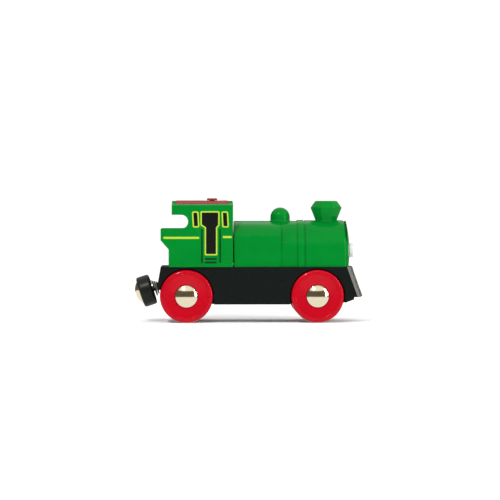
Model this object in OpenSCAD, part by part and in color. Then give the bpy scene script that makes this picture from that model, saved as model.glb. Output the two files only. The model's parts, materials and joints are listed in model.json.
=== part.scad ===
// Battery-driven toy railway tank engine for 40 mm grooved wooden track.
// X points forwards, Z up, Y to the engine's left. The origin is on the rail
// surface, under the middle of the engine from coupler cap to plow tip.
// Inside this file, design x = 0 is the rear top corner of the chassis deck.

/* [Wheels] */
// Tread diameter of every wheel
wheel_d = 24; // [22.5:0.5:25]
// Width of a wheel
wheel_w = 4.8; // [4:0.1:5.4]
// Distance between the middles of the left and right treads
track_w = 26; // [25:0.1:29]
// Axle diameter
axle_d = 3; // [2:0.1:3.4]
// Diameter of the domed hub caps
cap_d = 10; // [7:0.5:13]
// Height of a hub cap's dome
cap_rise = 1.6; // [0.8:0.1:2.4]
// Width of the rubber traction ring in a rear tread
tyre_w = 2; // [1:0.1:2.6]
// Thickness of the rubber traction ring
tyre_t = 0.9; // [0.5:0.1:1.2]

/* [Chassis] */
// Width over the side skirts
chassis_w = 30; // [28:0.5:38]
// Height of the deck that carries the cab and the hood
deck_z = 25.3; // [25:0.1:31]
// Height of the chassis underside
belly_z = 8.3; // [7.6:0.1:9.4]
// Rear deck corner to rear axle
rear_overhang = 11.6; // [11.4:0.1:15]
// Front axle to front deck corner
front_overhang = 14.4; // [13.5:0.1:18]
// Thickness of the chassis walls
chassis_wall = 1.8; // [1.4:0.1:2.2]
// Thickness of the bottom plate
plate_t = 1.2; // [1:0.1:1.4]
// How far the plow's foot stands ahead of the deck corner
plow_lean = 4.9; // [3:0.1:7]
// How far the plow's middle stands ahead of its sides
plow_point = 2.2; // [1:0.1:4]
// Thickness of the plow plate
plow_t = 1.1; // [0.8:0.1:1.4]

/* [Cab] */
// Width over the cab sides
cab_w = 32; // [30:0.5:40]
// Length of the cab at the deck
cab_len = 29.05; // [28:0.05:32]
// Distance from the rear deck corner to the cab's rear wall
cab_inset = 3.6; // [3:0.1:5]
// Height of the eaves
eaves_z = 53.2; // [52:0.1:66]
// Rise of the roof from the eaves to the crown
roof_rise = 2; // [1:0.1:4]
// Height of the bunker top behind the cab
bunker_z = 42.6; // [41:0.1:44.5]
// Height of the open rear side window above the bunker
window_h = 6.2; // [5:0.1:7.5]
// Depth of the open rear side window, from the bunker's rear edge
window_len = 12.4; // [10:0.1:13]
// Wall thickness of the cab and the hood
shell_wall = 1.8; // [1.2:0.1:2]

/* [Boiler hood] */
// Height of the boiler top
boiler_z = 46; // [45:0.1:56]
// Gap between the cab and the hood
hood_gap = 0.55; // [0.3:0.05:1]
// Width of the flat-sided firebox
firebox_w = 29; // [28:0.1:36]
// Length of the firebox
firebox_len = 21.2; // [18:0.1:26]
// Width of the round barrel
barrel_w = 28; // [27.4:0.1:34]
// Length of the round barrel
barrel_len = 11.4; // [9:0.1:14]
// Width of the smokebox
smokebox_w = 28.6; // [28:0.1:35]
// Bulge of the smokebox door
door_bulge = 1.3; // [0.6:0.1:2]
// Diameter of the steam dome
dome_d = 8.9; // [7:0.1:11]
// Height of the steam dome above the boiler
dome_rise = 6.2; // [5:0.1:9]
// Width of the chimney at its widest
stack_w = 14; // [11:0.1:16]
// Height of the chimney above the boiler
stack_h = 9.2; // [7:0.1:12]
// Smokebox front to chimney middle
stack_back = 9.25; // [8:0.1:12]
// Diameter of the headlamp
lamp_d = 6.4; // [5:0.1:8]

/* [Battery and switch] */
// Diameter of the cell
cell_d = 14.5; // [13.5:0.1:17.5]
// Length of the cell with its contact stud
cell_len = 50.5; // [49:0.1:62]
// Space for the spring behind the cell
spring_len = 2.5; // [2:0.1:4]
// Length of the switch button
button_len = 4.7; // [4:0.1:6]
// Travel of the switch to either side of off
switch_travel = 2.5; // [1.5:0.1:3]

/* [Drive] */
// Teeth on the axle gear
gear_teeth = 22; // [20:1:22]
// Gear module
gear_module = 0.5; // [0.45:0.01:0.5]
// Pitch radius of the worm
worm_r = 2.75; // [2.5:0.05:3]
// Motor shaft diameter
shaft_d = 2; // [1.5:0.1:2]
// Motor size along X
motor_x_len = 12; // [10:0.1:12.2]
// Motor size along Y
motor_y_len = 15.5; // [12:0.1:15.5]
// Height of the motor can
motor_h = 20; // [16:0.1:20]

/* [Coupler] */
// Outside diameter of the magnet holder
holder_d = 14.1; // [12:0.1:16]
// Thickness of the magnet holder
holder_t = 6; // [5:0.1:7]
// Diameter of the domed magnet cap
magnet_d = 10.6; // [9:0.1:11.4]
// How far the cap's dome stands out of its holder
magnet_rise = 2.25; // [1:0.05:2.6]
// Angle that the coupler hangs down at rest
droop = 18.3; // [10:0.1:20]
// Length of the coupler arm between its two pivots
arm_len = 4.4; // [4.2:0.1:6]
// Height of the coupler pivots
coupler_z = 15.5; // [15:0.1:17]

/* [Fits] */
// Radial clearance of a running fit
run_clear = 0.05; // [0.02:0.01:0.1]
// Clearance between seated parts
seat_clear = 0.15; // [0.1:0.01:0.3]

/* [Hidden] */
$fn = 64;
over = 0.5;              // how far a cut runs past the surface that it opens

green = [0.01, 0.53, 0.19];
black = [0.09, 0.11, 0.10];
red = [0.83, 0.03, 0.12];
steel = [0.72, 0.72, 0.72];
nickel = [0.88, 0.84, 0.70];
brass = [0.80, 0.62, 0.28];
white = [0.95, 0.95, 0.93];

// Running gear
wheel_r = wheel_d / 2;
axle_r = axle_d / 2;
axle_z = wheel_r;
rear_axle_x = rear_overhang;
wheel_in_y = track_w / 2 - wheel_w / 2;
wheel_out_y = track_w / 2 + wheel_w / 2;
rim_r = 1.3;             // rounding of a wheel's outer edge
heel_r = 0.6;            // rounding of a wheel's inner edge
cap_seat = 0.8;          // depth of the recess that a hub cap sits in
cap_rim = 0.9;           // straight edge of a hub cap
cap_gap = 0.25;          // ring of space round a hub cap
wheel_side_gap = 0.7;    // wheel to chassis, on the inside
arch_clear = 0.5;        // wheel to its arch

// Drive: single-start worm above and beside the axle gear
gear_r = gear_teeth * gear_module / 2;
gear_add = 0.8 * gear_module;
gear_ded = 1.2 * gear_module;
gear_w = 3;
gear_tip_t = 0.36 * gear_module;
gear_root_t = 1.66 * gear_module;
worm_pitch = PI * gear_module;
worm_turns = 3;
worm_len = worm_turns * worm_pitch;
worm_lift = gear_module;  // how far the thread stands either side of its pitch radius
shaft_r = shaft_d / 2;
motor_x = rear_axle_x + gear_r + worm_r;
gearbox_h = 1.6;          // floor under the motor
motor_z = deck_z - 5.3;
motor_wall = 1.5;
endcap_h = 2;
endcap_inset = 0.6;       // step from the motor's can to its end cap
shaft_end_z = belly_z - 0.2;

// Length chain along the battery
contact_wall = 1.8;
contact_t = 0.4;
motor_gap = 0.15;
rear_wall_x = motor_x + motor_x_len / 2 + motor_gap;
rear_wall_t = 1;
cell_x = rear_wall_x + rear_wall_t + spring_len;
front_wall_x = cell_x + cell_len + contact_t;
nose_gap = 3.1;
chassis_len = front_wall_x + contact_wall + nose_gap;
front_axle_x = chassis_len - front_overhang;
cell_r = cell_d / 2;
plinth_h = 1.2;
plinth_z = deck_z + plinth_h;
cell_lift = 0.25;
cell_z = plinth_z + cell_r + cell_lift;

// Chassis
half_w = chassis_w / 2;
tub_y = wheel_in_y - wheel_side_gap;
tub_in_y = tub_y - chassis_wall + 0.2;
skirt_in_y = half_w - chassis_wall;
deck_t = 2;
rear_bulge = 1.4;         // how far the rear end wall stands behind the deck corner
rear_mid_z = coupler_z + 2;
foot_z = belly_z + 3.3;   // underside of the plow
mid_x0 = rear_axle_x + 14;
mid_x1 = front_axle_x - 13.9;
slot_w = axle_d + 2 * run_clear;

// Cab
cab_x1 = cab_inset + cab_len;
cab_half = cab_w / 2;
roof_z = eaves_z + roof_rise;
roof_r = (cab_half * cab_half + roof_rise * roof_rise) / (2 * roof_rise);
roof_x = 5;
window_r = window_h / 2;
window_z = bunker_z + window_r;
window_x = window_len - window_r;
bunker_low_z = bunker_z - 9.4;
bunker_edge_z = bunker_z - 5.3;
roof_t = 1.7;
ceiling_z = eaves_z - roof_t;

// Hood
hood_x0 = cab_x1 + hood_gap;
hood_x1 = chassis_len - 0.4;
firebox_x1 = hood_x0 + firebox_len;
barrel_x1 = firebox_x1 + barrel_len;
barrel_r = barrel_w / 2;
smokebox_r = smokebox_w / 2;
hollow_r = barrel_r - shell_wall;
firebox_arc_r = 18.9;
band_w = 2.8;
band_rise = 0.45;
nose_r = 2.6;             // rounding of the smokebox's front edge
hood_wall_x = hood_x1 - shell_wall;
lamp_z = deck_z + 7.2;
lamp_len = 2;
lens_d = lamp_d - 1.6;
dome_x = firebox_x1 + 0.1;
dome_r = dome_d / 2;
stack_x = hood_x1 - stack_back;
stack_neck_w = stack_w - 4.2;
stack_top_w = stack_w - 4.4;
stack_cap_h = 3.1;
stack_bore_w = stack_top_w - 2.6;
stack_bore_h = 5;
seat_sink = 1.4;          // how deep the dome and the chimney sit in the hood

// Screws that hold the cab and the hood from below
screw_head_d = 4;
screw_head_h = 1.5;
screw_d = 2.2;
screw_len = 10;
screw_seat_z = deck_z - 4.8;
well_r = screw_head_d / 2 + 0.2;
column_r = well_r + 1;
boss_r = 2.1;
side_screw_y = 9.9;
hood_screw_x = hood_x0 + 12.8;
cab_screw_x = rear_wall_x + rear_wall_t + 1.5;
rear_screw_x = 6.6;
rear_screw_y = 5.8;
cab_screw_xy = [
    [cab_screw_x, side_screw_y], [cab_screw_x, -side_screw_y],
    [rear_screw_x, rear_screw_y], [rear_screw_x, -rear_screw_y]
];
hood_screw_xy = [[hood_screw_x, side_screw_y], [hood_screw_x, -side_screw_y]];
well_xy = concat(cab_screw_xy, hood_screw_xy);
plate_screw_x = [hood_screw_x - 9, front_axle_x + 8.6];
plate_screw_len = 8;
plate_screw_head_d = 4.4;

// Switch
panel_y = cab_half - 2.2;
panel_x0 = roof_x + 1.8;
panel_x1 = cab_x1 - 2.2;
panel_proud = 0.2;
panel_t = 2.2;
button_x = cab_x1 - 9.4;
button_w = 9;
button_h = 0.8;
button_z = roof_z + panel_proud + 0.1;
stem_x = 2.4;
stem_y = 4;
stem_z = ceiling_z - 1.4;
switch_x_len = 13;
switch_y_len = 12;
switch_t = 2.6;
switch_z = stem_z - 0.9;
switch_post = 2;

// Coupler
post_x = 2.2;
post_r = 1;
pivot_x = post_x - arm_len;
eye_r = 2.2;
arm_t = 2.6;
tongue_w = 1.6;
tongue_r = 1.2;
ear_w = 0.7;
ear_gap = 0.1;
pin_r = 0.5;
holder_x = 1.82;          // pivot to the holder's front face
holder_r = holder_d / 2;
holder_round = 1;
magnet_r = magnet_d / 2;
magnet_dome_r = (magnet_r * magnet_r + magnet_rise * magnet_rise) / (2 * magnet_rise);
magnet_depth = 3.6;
magnet_cap_t = 0.5;
cap_apex = holder_x + holder_t + magnet_rise;
pocket_clear = 0.4;
mouth_r = 4.6;            // round mouth in the rear wall, wide enough for the swung spring
spring_wire_r = 0.36;

// Wires
wire_r = 0.55;
wire_gap = 0.12;          // a wire's end to the terminal that it is soldered to
wire_y = 7;
wire_z = plinth_z + 0.8;

// Middle of the engine, from the coupler cap's rearmost point to the plow's tip
rear_tip_x = pivot_x - (cap_apex - magnet_dome_r) * cos(droop) - magnet_dome_r;
lean_angle = atan2(plow_lean, deck_z - foot_z);
plow_tip_x = chassis_len + plow_lean + plow_point / cos(lean_angle);
middle_x = (rear_tip_x + plow_tip_x) / 2;

module placed() {
    translate([-middle_x, 0, 0]) children();
}

// Turns a shape drawn upright round Z so that its axis lies along +Y.
module along_y() {
    rotate([-90, 0, 0]) children();
}

// A side outline in x and z, given a thickness across the engine.
module side_extrude(width) {
    translate([0, width / 2, 0]) rotate([90, 0, 0]) linear_extrude(width) children();
}

// A cross-section in y and z, given a length along the engine from x.
module cross_extrude(x, length) {
    translate([x, 0, 0]) rotate([90, 0, 90]) linear_extrude(length) children();
}

// A block given by its low corner and its high corner.
module block(low, high) {
    translate(low) cube(high - low);
}

function unit(v) = v / norm(v);

// Side directions of the ring at point i of a path.
function path_dir(p, i) = unit(p[min(i + 1, len(p) - 1)] - p[max(i - 1, 0)]);
function side_dir(d, up) = unit(cross(d, up));

// A closed round tube along a path, with sides facets round it.
module tube_along(path, radius, up, sides = 8) {
    rings = len(path);
    points = [
        for (i = [0 : rings - 1])
            let (d = path_dir(path, i), u = side_dir(d, up), v = cross(d, u))
                for (k = [0 : sides - 1])
                    let (a = 360 * k / sides)
                        path[i] + radius * (cos(a) * u + sin(a) * v)
    ];
    skin = [
        for (i = [0 : rings - 2])
            for (k = [0 : sides - 1])
                let (a = i * sides + k, b = i * sides + (k + 1) % sides)
                    [a, a + sides, b + sides, b]
    ];
    first = [for (k = [0 : sides - 1]) k];
    last = [for (k = [sides - 1 : -1 : 0]) (rings - 1) * sides + k];
    polyhedron(points, concat(skin, [first], [last]), convexity = 8);
}

// A conical coil along -X from x = 0, as points of its wire's middle line.
function coil_points(r0, r1, length, turns, steps = 14) = [
    for (i = [0 : turns * steps])
        let (t = i / (turns * steps), a = 360 * i / steps, r = r0 + (r1 - r0) * t)
            [-length * t, r * cos(a), r * sin(a)]
];

// Running gear ---------------------------------------------------------------

module wheel_section() {
    difference() {
        union() {
            square([wheel_r - rim_r, wheel_w]);
            square([wheel_r - heel_r, wheel_w / 2]);
            translate([0, heel_r]) square([wheel_r, wheel_w - rim_r - heel_r]);
            translate([wheel_r - rim_r, wheel_w - rim_r]) circle(rim_r);
            translate([wheel_r - heel_r, heel_r]) circle(heel_r);
        }
        translate([-over, -over]) square([axle_r + over, wheel_w + 2 * over]);
        translate([-over, wheel_w - cap_seat]) square([cap_d / 2 + cap_gap + over, cap_seat + over]);
    }
}

module wheel(x, side, grooved) {
    color(red) translate([x, side * wheel_in_y, axle_z]) rotate([-90 * side, 0, 0]) {
        rotate_extrude() difference() {
            wheel_section();
            if (grooved) {
                translate([wheel_r - tyre_t, wheel_w / 2 - tyre_w / 2]) square([tyre_t + over, tyre_w]);
            }
        }
    }
}

module tyre(side) {
    color(black) translate([rear_axle_x, side * wheel_in_y, axle_z]) rotate([-90 * side, 0, 0]) {
        rotate_extrude() translate([wheel_r - tyre_t, wheel_w / 2 - tyre_w / 2]) square([tyre_t, tyre_w]);
    }
}

// A domed cap pressed over the end of an axle, in the wheel's recess.
module hub_cap(x, side) {
    base_r = cap_d / 2;
    dome = (base_r * base_r + cap_rise * cap_rise) / (2 * cap_rise);
    color(nickel) translate([x, side * (wheel_out_y - cap_seat), axle_z]) rotate([-90 * side, 0, 0]) {
        rotate_extrude() difference() {
            union() {
                square([base_r, cap_rim]);
                intersection() {
                    translate([0, cap_rim + cap_rise - dome]) circle(dome, $fn = 128);
                    translate([0, cap_rim]) square([base_r, cap_rise + 1]);
                }
            }
            translate([-over, -over]) square([axle_r + over, cap_seat + over]);
        }
    }
}

module axle(x) {
    color(steel) translate([x, -wheel_out_y, axle_z]) along_y() cylinder(r = axle_r, h = 2 * wheel_out_y);
}

module rear_axle() {
    axle(rear_axle_x);
}

module front_axle() {
    axle(front_axle_x);
}

module axle_gear() {
    root_r = gear_r - gear_ded;
    tip_r = gear_r + gear_add;
    color(white) translate([rear_axle_x, gear_w / 2, axle_z]) rotate([90, 0, 0]) linear_extrude(gear_w) {
        difference() {
            union() {
                circle(root_r);
                for (i = [0 : gear_teeth - 1]) {
                    rotate(360 * i / gear_teeth) polygon([
                        [root_r - 0.3, -gear_root_t / 2], [root_r, -gear_root_t / 2],
                        [tip_r, -gear_tip_t / 2], [tip_r, gear_tip_t / 2],
                        [root_r, gear_root_t / 2], [root_r - 0.3, gear_root_t / 2]
                    ]);
                }
            }
            circle(axle_r);
        }
    }
}

// The thread is an eccentric disc turned as it rises, with a valley facing the gear.
module worm() {
    worm_z0 = axle_z - worm_len / 2;
    start = -360 * (axle_z - worm_z0) / worm_pitch;
    color(brass) difference() {
        translate([motor_x, 0, worm_z0]) {
            linear_extrude(worm_len, twist = -360 * worm_turns, slices = 14 * worm_turns) {
                rotate(start) translate([worm_lift, 0]) circle(worm_r, $fn = 20);
            }
        }
        translate([motor_x, 0, worm_z0 - over]) cylinder(r = shaft_r, h = worm_len + 2 * over);
    }
}

module motor_shaft() {
    color(steel) translate([motor_x, 0, shaft_end_z]) cylinder(r = shaft_r, h = motor_z + motor_h - 4 - shaft_end_z);
}

// Motor ----------------------------------------------------------------------

module motor_can() {
    half_x = motor_x_len / 2;
    half_y = motor_y_len / 2;
    color(steel) difference() {
        intersection() {
            block([motor_x - half_x, -half_y, motor_z], [motor_x + half_x, half_y, motor_z + motor_h]);
            translate([motor_x, 0, motor_z]) cylinder(r = half_y, h = motor_h);
        }
        intersection() {
            block(
                [motor_x - half_x + motor_wall, -half_y, motor_z + motor_wall],
                [motor_x + half_x - motor_wall, half_y, motor_z + motor_h + over]
            );
            translate([motor_x, 0, motor_z]) cylinder(r = half_y - motor_wall, h = motor_h + over);
        }
        translate([motor_x, 0, motor_z - over]) cylinder(r = shaft_r + run_clear, h = motor_h);
    }
}

module motor_endcap() {
    half_x = motor_x_len / 2 - endcap_inset;
    half_y = motor_y_len / 2 - endcap_inset;
    top = motor_z + motor_h;
    color(white) {
        intersection() {
            block([motor_x - half_x, -half_y, top], [motor_x + half_x, half_y, top + endcap_h]);
            translate([motor_x, 0, top]) cylinder(r = half_y, h = endcap_h);
        }
        for (side = [-1, 1]) {
            block(
                [motor_x - 1, side * 4.6 - 0.25, top + endcap_h],
                [motor_x + 1, side * 4.6 + 0.25, top + endcap_h + 1.8]
            );
        }
    }
}

// Chassis --------------------------------------------------------------------

module chassis_outline() {
    polygon([
        [0, deck_z], [-rear_bulge, rear_mid_z], [-rear_bulge, rear_mid_z - 0.9],
        [0.2, rear_mid_z - 4], [0.2, belly_z],
        [front_axle_x + 10.5, belly_z], [front_axle_x + 16.4, belly_z + 2.2],
        [front_axle_x + 16.6, foot_z], [plow_tip_x + 1, foot_z], [plow_tip_x + 1, deck_z]
    ]);
}

// Everything ahead of a leaning face that is pointed in plan, set back by depth.
module ahead_of_face(depth) {
    reach = 30;
    spread = half_w + 3;
    side_x = -depth - plow_point * (spread / half_w - 1);
    translate([chassis_len + plow_lean, 0, foot_z]) rotate([0, -lean_angle, 0]) {
        translate([0, 0, -reach]) linear_extrude(3 * reach) polygon([
            [side_x, -spread], [plow_point - depth, 0], [side_x, spread], [reach, spread], [reach, -spread]
        ]);
    }
}

module wheel_arch(x) {
    for (side = [-1, 1]) {
        low_y = side > 0 ? tub_y : -half_w - over;
        translate([x, low_y, axle_z]) along_y() cylinder(r = wheel_r + arch_clear, h = half_w - tub_y + over);
        block(
            [x - wheel_r - arch_clear, low_y, belly_z - over],
            [x + wheel_r + arch_clear, low_y + half_w - tub_y + over, axle_z]
        );
    }
}

// Half-open slot that an axle drops into from below.
module axle_slot(x) {
    translate([x, -tub_y - over, axle_z]) along_y() cylinder(r = slot_w / 2, h = 2 * tub_y + 2 * over);
    block([x - slot_w / 2, -tub_y - over, belly_z - over], [x + slot_w / 2, tub_y + over, axle_z]);
}

module coupler_pocket() {
    pocket_z = arm_t / 2 + 0.3;
    translate([post_x, 0, coupler_z - pocket_z]) cylinder(r = eye_r + pocket_clear, h = 2 * pocket_z);
    block([-rear_bulge - over, -3, coupler_z - pocket_z], [post_x, 3, coupler_z + pocket_z]);
    translate([-rear_bulge - over, 0, coupler_z]) rotate([0, 90, 0]) cylinder(r = mouth_r, h = rear_bulge + over + 0.6);
    translate([post_x, 0, belly_z - over]) cylinder(r = post_r, h = coupler_z + 4.5 - belly_z + over);
}

module chassis_solid() {
    gearbox_top = motor_z - gearbox_h;
    difference() {
        side_extrude(chassis_w) chassis_outline();
        ahead_of_face(plow_t);
        wheel_arch(rear_axle_x);
        wheel_arch(front_axle_x);
        block([mid_x0, -skirt_in_y, belly_z - over], [mid_x1, skirt_in_y, deck_z - deck_t]);
        block([post_x + 2.8, -tub_in_y, belly_z - over], [mid_x0 + over, tub_in_y, gearbox_top]);
        block([mid_x1 - over, -tub_in_y, belly_z - over], [front_axle_x + 11, tub_in_y, deck_z - deck_t]);
        block(
            [motor_x - motor_x_len / 2 - 0.1, -motor_y_len / 2 - 0.1, motor_z],
            [motor_x + motor_x_len / 2 + 0.1, motor_y_len / 2 + 0.1, deck_z + over]
        );
        translate([motor_x, 0, gearbox_top - over]) cylinder(r = worm_r + worm_lift + 0.3, h = gearbox_h + 2 * over);
    }
}

module battery_cradle() {
    difference() {
        union() {
            block([hood_x0 + 1.6, -hollow_r + seat_clear, deck_z - 0.1], [hood_wall_x - 0.6, hollow_r - seat_clear, plinth_z]);
            for (x = [cell_x + 8, cell_x + cell_len - 12]) {
                block([x, -6, plinth_z - 0.1], [x + 2, 6, plinth_z + 3]);
            }
            block([front_wall_x, -6, deck_z - 0.1], [front_wall_x + contact_wall, 6, cell_z + 3]);
            block([rear_wall_x, -6, deck_z - 0.1], [rear_wall_x + rear_wall_t, 6, cell_z + 3]);
        }
        translate([cell_x, 0, cell_z]) rotate([0, 90, 0]) cylinder(r = cell_r + 0.1, h = cell_len);
    }
}

module chassis_frame() {
    color(black) difference() {
        union() {
            chassis_solid();
            battery_cradle();
            for (p = well_xy) {
                translate([p[0], p[1], belly_z + plate_t]) cylinder(r = column_r, h = deck_z - 0.5 - belly_z - plate_t);
            }
            for (x = plate_screw_x) {
                translate([x, 0, belly_z + plate_t]) cylinder(r = 2.6, h = deck_z - 0.5 - belly_z - plate_t);
            }
        }
        for (p = well_xy) {
            translate([p[0], p[1], belly_z - over]) cylinder(r = well_r, h = screw_seat_z - belly_z + over);
            translate([p[0], p[1], belly_z]) cylinder(r = screw_d / 2 + 0.15, h = plinth_z - belly_z + over);
        }
        for (x = plate_screw_x) {
            translate([x, 0, belly_z]) cylinder(r = screw_d / 2, h = plate_screw_len + over);
        }
        axle_slot(rear_axle_x);
        axle_slot(front_axle_x);
        coupler_pocket();
    }
}

// Closes the gearbox and the axle slots from below.
module bottom_plate() {
    x0 = post_x + 2.8 + seat_clear;
    x1 = front_axle_x + 11 - seat_clear;
    tub = tub_in_y - seat_clear;
    skirt = skirt_in_y - seat_clear;
    top = belly_z + plate_t;
    bulge_r = gear_r + gear_add + 0.6;
    color(black) difference() {
        union() {
            block([x0, -tub, belly_z], [x1, tub, top]);
            block([mid_x0 + seat_clear, -skirt, belly_z], [mid_x1 - seat_clear, skirt, top]);
            for (x = [rear_axle_x, front_axle_x]) {
                for (side = [-1, 1]) {
                    low_y = side > 0 ? tub - 1.6 : -tub_y;
                    block([x - axle_r + 0.1, low_y, belly_z], [x + axle_r - 0.1, low_y + tub_y - tub + 1.6, axle_z]);
                }
            }
            intersection() {
                translate([rear_axle_x, -gear_w / 2 - 1.7, axle_z]) along_y() cylinder(r = bulge_r + 0.9, h = gear_w + 3.4);
                block([rear_axle_x - 8, -8, 0], [rear_axle_x + 8, 8, top]);
            }
            translate([motor_x, 0, belly_z - 1]) cylinder(r = 2.2, h = plate_t);
        }
        translate([rear_axle_x, -gear_w / 2 - 0.8, axle_z]) along_y() cylinder(r = bulge_r, h = gear_w + 1.6);
        for (x = [rear_axle_x, front_axle_x]) {
            translate([x, -tub_y - over, axle_z]) along_y() cylinder(r = axle_r + run_clear, h = 2 * tub_y + 2 * over);
        }
        translate([motor_x, 0, shaft_end_z - 0.2]) cylinder(r = shaft_r + run_clear, h = 4);
        for (p = well_xy) {
            translate([p[0], p[1], belly_z - over]) cylinder(r = well_r, h = plate_t + 2 * over);
        }
        for (x = plate_screw_x) {
            translate([x, 0, belly_z - over]) cylinder(r = screw_d / 2 + 0.15, h = plate_t + 2 * over);
            translate([x, 0, belly_z - over]) cylinder(r = plate_screw_head_d / 2 + 0.15, h = 0.7 + over);
        }
    }
}

module cross_recess(depth) {
    for (turn = [0, 90]) {
        rotate(turn) translate([-1.1, -0.3, -over]) cube([2.2, 0.6, depth + over]);
    }
}

module screws(places) {
    color(steel) for (p = places) {
        translate([p[0], p[1], screw_seat_z - screw_head_h]) difference() {
            union() {
                cylinder(d = screw_head_d, h = screw_head_h);
                cylinder(d = screw_d, h = screw_head_h + screw_len);
            }
            cross_recess(0.9);
        }
    }
}

module cab_screws() {
    screws(cab_screw_xy);
}

module hood_screws() {
    screws(hood_screw_xy);
}

module plate_screws() {
    color(steel) for (x = plate_screw_x) {
        translate([x, 0, belly_z]) difference() {
            union() {
                cylinder(d = plate_screw_head_d, h = 0.7);
                cylinder(d = screw_d, h = plate_screw_len);
            }
            cross_recess(0.4);
        }
    }
}

module plow() {
    slot_pitch = 3.3;
    slot_width = 1.7;
    edge_y = half_w - 1.2;
    color(steel) difference() {
        intersection() {
            difference() {
                ahead_of_face(plow_t);
                ahead_of_face(0);
            }
            block([chassis_len - 4, -half_w, foot_z], [plow_tip_x + 2, half_w, deck_z - 0.05]);
        }
        for (i = [-4 : 4]) {
            block(
                [chassis_len - 6, i * slot_pitch - slot_width / 2, foot_z + 2.8],
                [plow_tip_x + 3, i * slot_pitch + slot_width / 2, deck_z - 2.2]
            );
        }
    }
}

// Cab ------------------------------------------------------------------------

module cab_outline() {
    polygon([
        [cab_inset, deck_z], [cab_inset, bunker_low_z], [0, bunker_edge_z], [0, bunker_z],
        [roof_x, bunker_z], [roof_x, roof_z + 1], [cab_x1, roof_z + 1], [cab_x1, deck_z]
    ]);
}

module cab_hollow_outline() {
    w = shell_wall;
    polygon([
        [cab_inset + w, deck_z - 1], [cab_inset + w, bunker_low_z - 0.6], [w, bunker_edge_z + 0.7],
        [w, bunker_z - w], [window_len + w, bunker_z - w], [window_len + w, ceiling_z],
        [cab_x1 - w, ceiling_z], [cab_x1 - w, deck_z - 1]
    ]);
}

// Cross-section of the cab with its arched roof, grown upwards by a given amount.
module roof_section(proud) {
    intersection() {
        translate([-cab_half, deck_z - 2]) square([cab_w, roof_z + 4 - deck_z]);
        translate([0, roof_z - roof_r]) circle(roof_r + proud, $fn = 256);
    }
}

module roof_slot_cut() {
    half_x = stem_x / 2 + switch_travel + 0.3;
    block([button_x - half_x, -stem_y / 2 - 0.3, ceiling_z - over], [button_x + half_x, stem_y / 2 + 0.3, roof_z + 2]);
}

module screw_boss(p, top, wall_y, wall_x) {
    side = sign(p[1]);
    translate([p[0], p[1], deck_z]) cylinder(r = boss_r, h = top - deck_z);
    if (wall_y > abs(p[1])) {
        block([p[0] - 0.8, min(p[1], side * wall_y), deck_z], [p[0] + 0.8, max(p[1], side * wall_y), top]);
    }
    if (wall_x > 0) {
        block([wall_x, p[1] - 0.8, deck_z], [p[0], p[1] + 0.8, top]);
    }
}

module cab_shell() {
    boss_top = screw_seat_z + screw_len + 1;
    color(green) difference() {
        union() {
            difference() {
                intersection() {
                    side_extrude(cab_w) cab_outline();
                    cross_extrude(-over, cab_x1 + 2 * over) roof_section(0);
                }
                side_extrude(cab_w - 2 * shell_wall) cab_hollow_outline();
            }
            screw_boss(cab_screw_xy[0], boss_top, cab_half - 1, 0);
            screw_boss(cab_screw_xy[1], boss_top, cab_half - 1, 0);
            screw_boss(cab_screw_xy[2], boss_top, 0, cab_inset + 0.5);
            screw_boss(cab_screw_xy[3], boss_top, 0, cab_inset + 0.5);
        }
        translate([window_x, -cab_half - over, window_z]) along_y() cylinder(r = window_r, h = cab_w + 2 * over);
        block([-over, -cab_half - over, bunker_z], [window_x, cab_half + over, bunker_z + window_h]);
        for (p = cab_screw_xy) {
            translate([p[0], p[1], deck_z - over]) cylinder(d = screw_d, h = boss_top - 0.6 - deck_z + over);
        }
        translate([cab_x1 - shell_wall - over, 0, cell_z]) rotate([0, 90, 0]) {
            cylinder(r = cell_r + 0.8, h = shell_wall + 2 * over);
        }
        block([cab_x1 - shell_wall - over, -hollow_r, deck_z - over], [cab_x1 + over, hollow_r, cell_z]);
        block([panel_x0, -panel_y, roof_z - panel_t], [panel_x1, panel_y, roof_z + 2]);
        roof_slot_cut();
        for (side = [-1, 1]) {
            for (x = [cab_x1 - 14.15, cab_x1 - 5.95]) {
                block(
                    [x - 0.25, side * cab_half - 0.3, deck_z + 2],
                    [x + 0.25, side * cab_half + 0.3, deck_z + 17]
                );
            }
        }
    }
}

module roof_panel() {
    gap = 0.05;
    color(red) difference() {
        intersection() {
            cross_extrude(panel_x0 + gap, panel_x1 - panel_x0 - 2 * gap) roof_section(panel_proud);
            block([panel_x0, -panel_y + gap, roof_z - panel_t], [panel_x1, panel_y - gap, roof_z + 2]);
        }
        roof_slot_cut();
    }
}

module switch_button() {
    color(red) {
        block(
            [button_x - button_len / 2, -button_w / 2, button_z],
            [button_x + button_len / 2, button_w / 2, button_z + button_h]
        );
        for (i = [-1 : 1]) {
            block(
                [button_x + i * 1.4 - 0.25, -button_w / 2 + 0.8, button_z + button_h],
                [button_x + i * 1.4 + 0.25, button_w / 2 - 0.8, button_z + button_h + 0.2]
            );
        }
        block([button_x - stem_x / 2, -stem_y / 2, stem_z], [button_x + stem_x / 2, stem_y / 2, button_z + 0.1]);
    }
}

module switch_blade() {
    color(brass) block([button_x - 2, -3, stem_z - 0.3], [button_x + 2, 3, stem_z]);
}

module switch_base() {
    half_x = switch_x_len / 2;
    half_y = switch_y_len / 2;
    color(black) {
        block([button_x - half_x, -half_y, switch_z - switch_t], [button_x + half_x, half_y, switch_z]);
        for (side = [-1, 1]) {
            low_y = side > 0 ? half_y - switch_post : -half_y;
            block([button_x - half_x, low_y, switch_z - 0.1], [button_x + half_x, low_y + switch_post, ceiling_z]);
        }
    }
}

// Battery and wiring -----------------------------------------------------------

module battery() {
    stud_len = 1;
    color(steel) translate([cell_x, 0, cell_z]) rotate([0, 90, 0]) {
        cylinder(r = cell_r, h = cell_len - stud_len);
        cylinder(d = 5.4, h = cell_len);
    }
}

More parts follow.
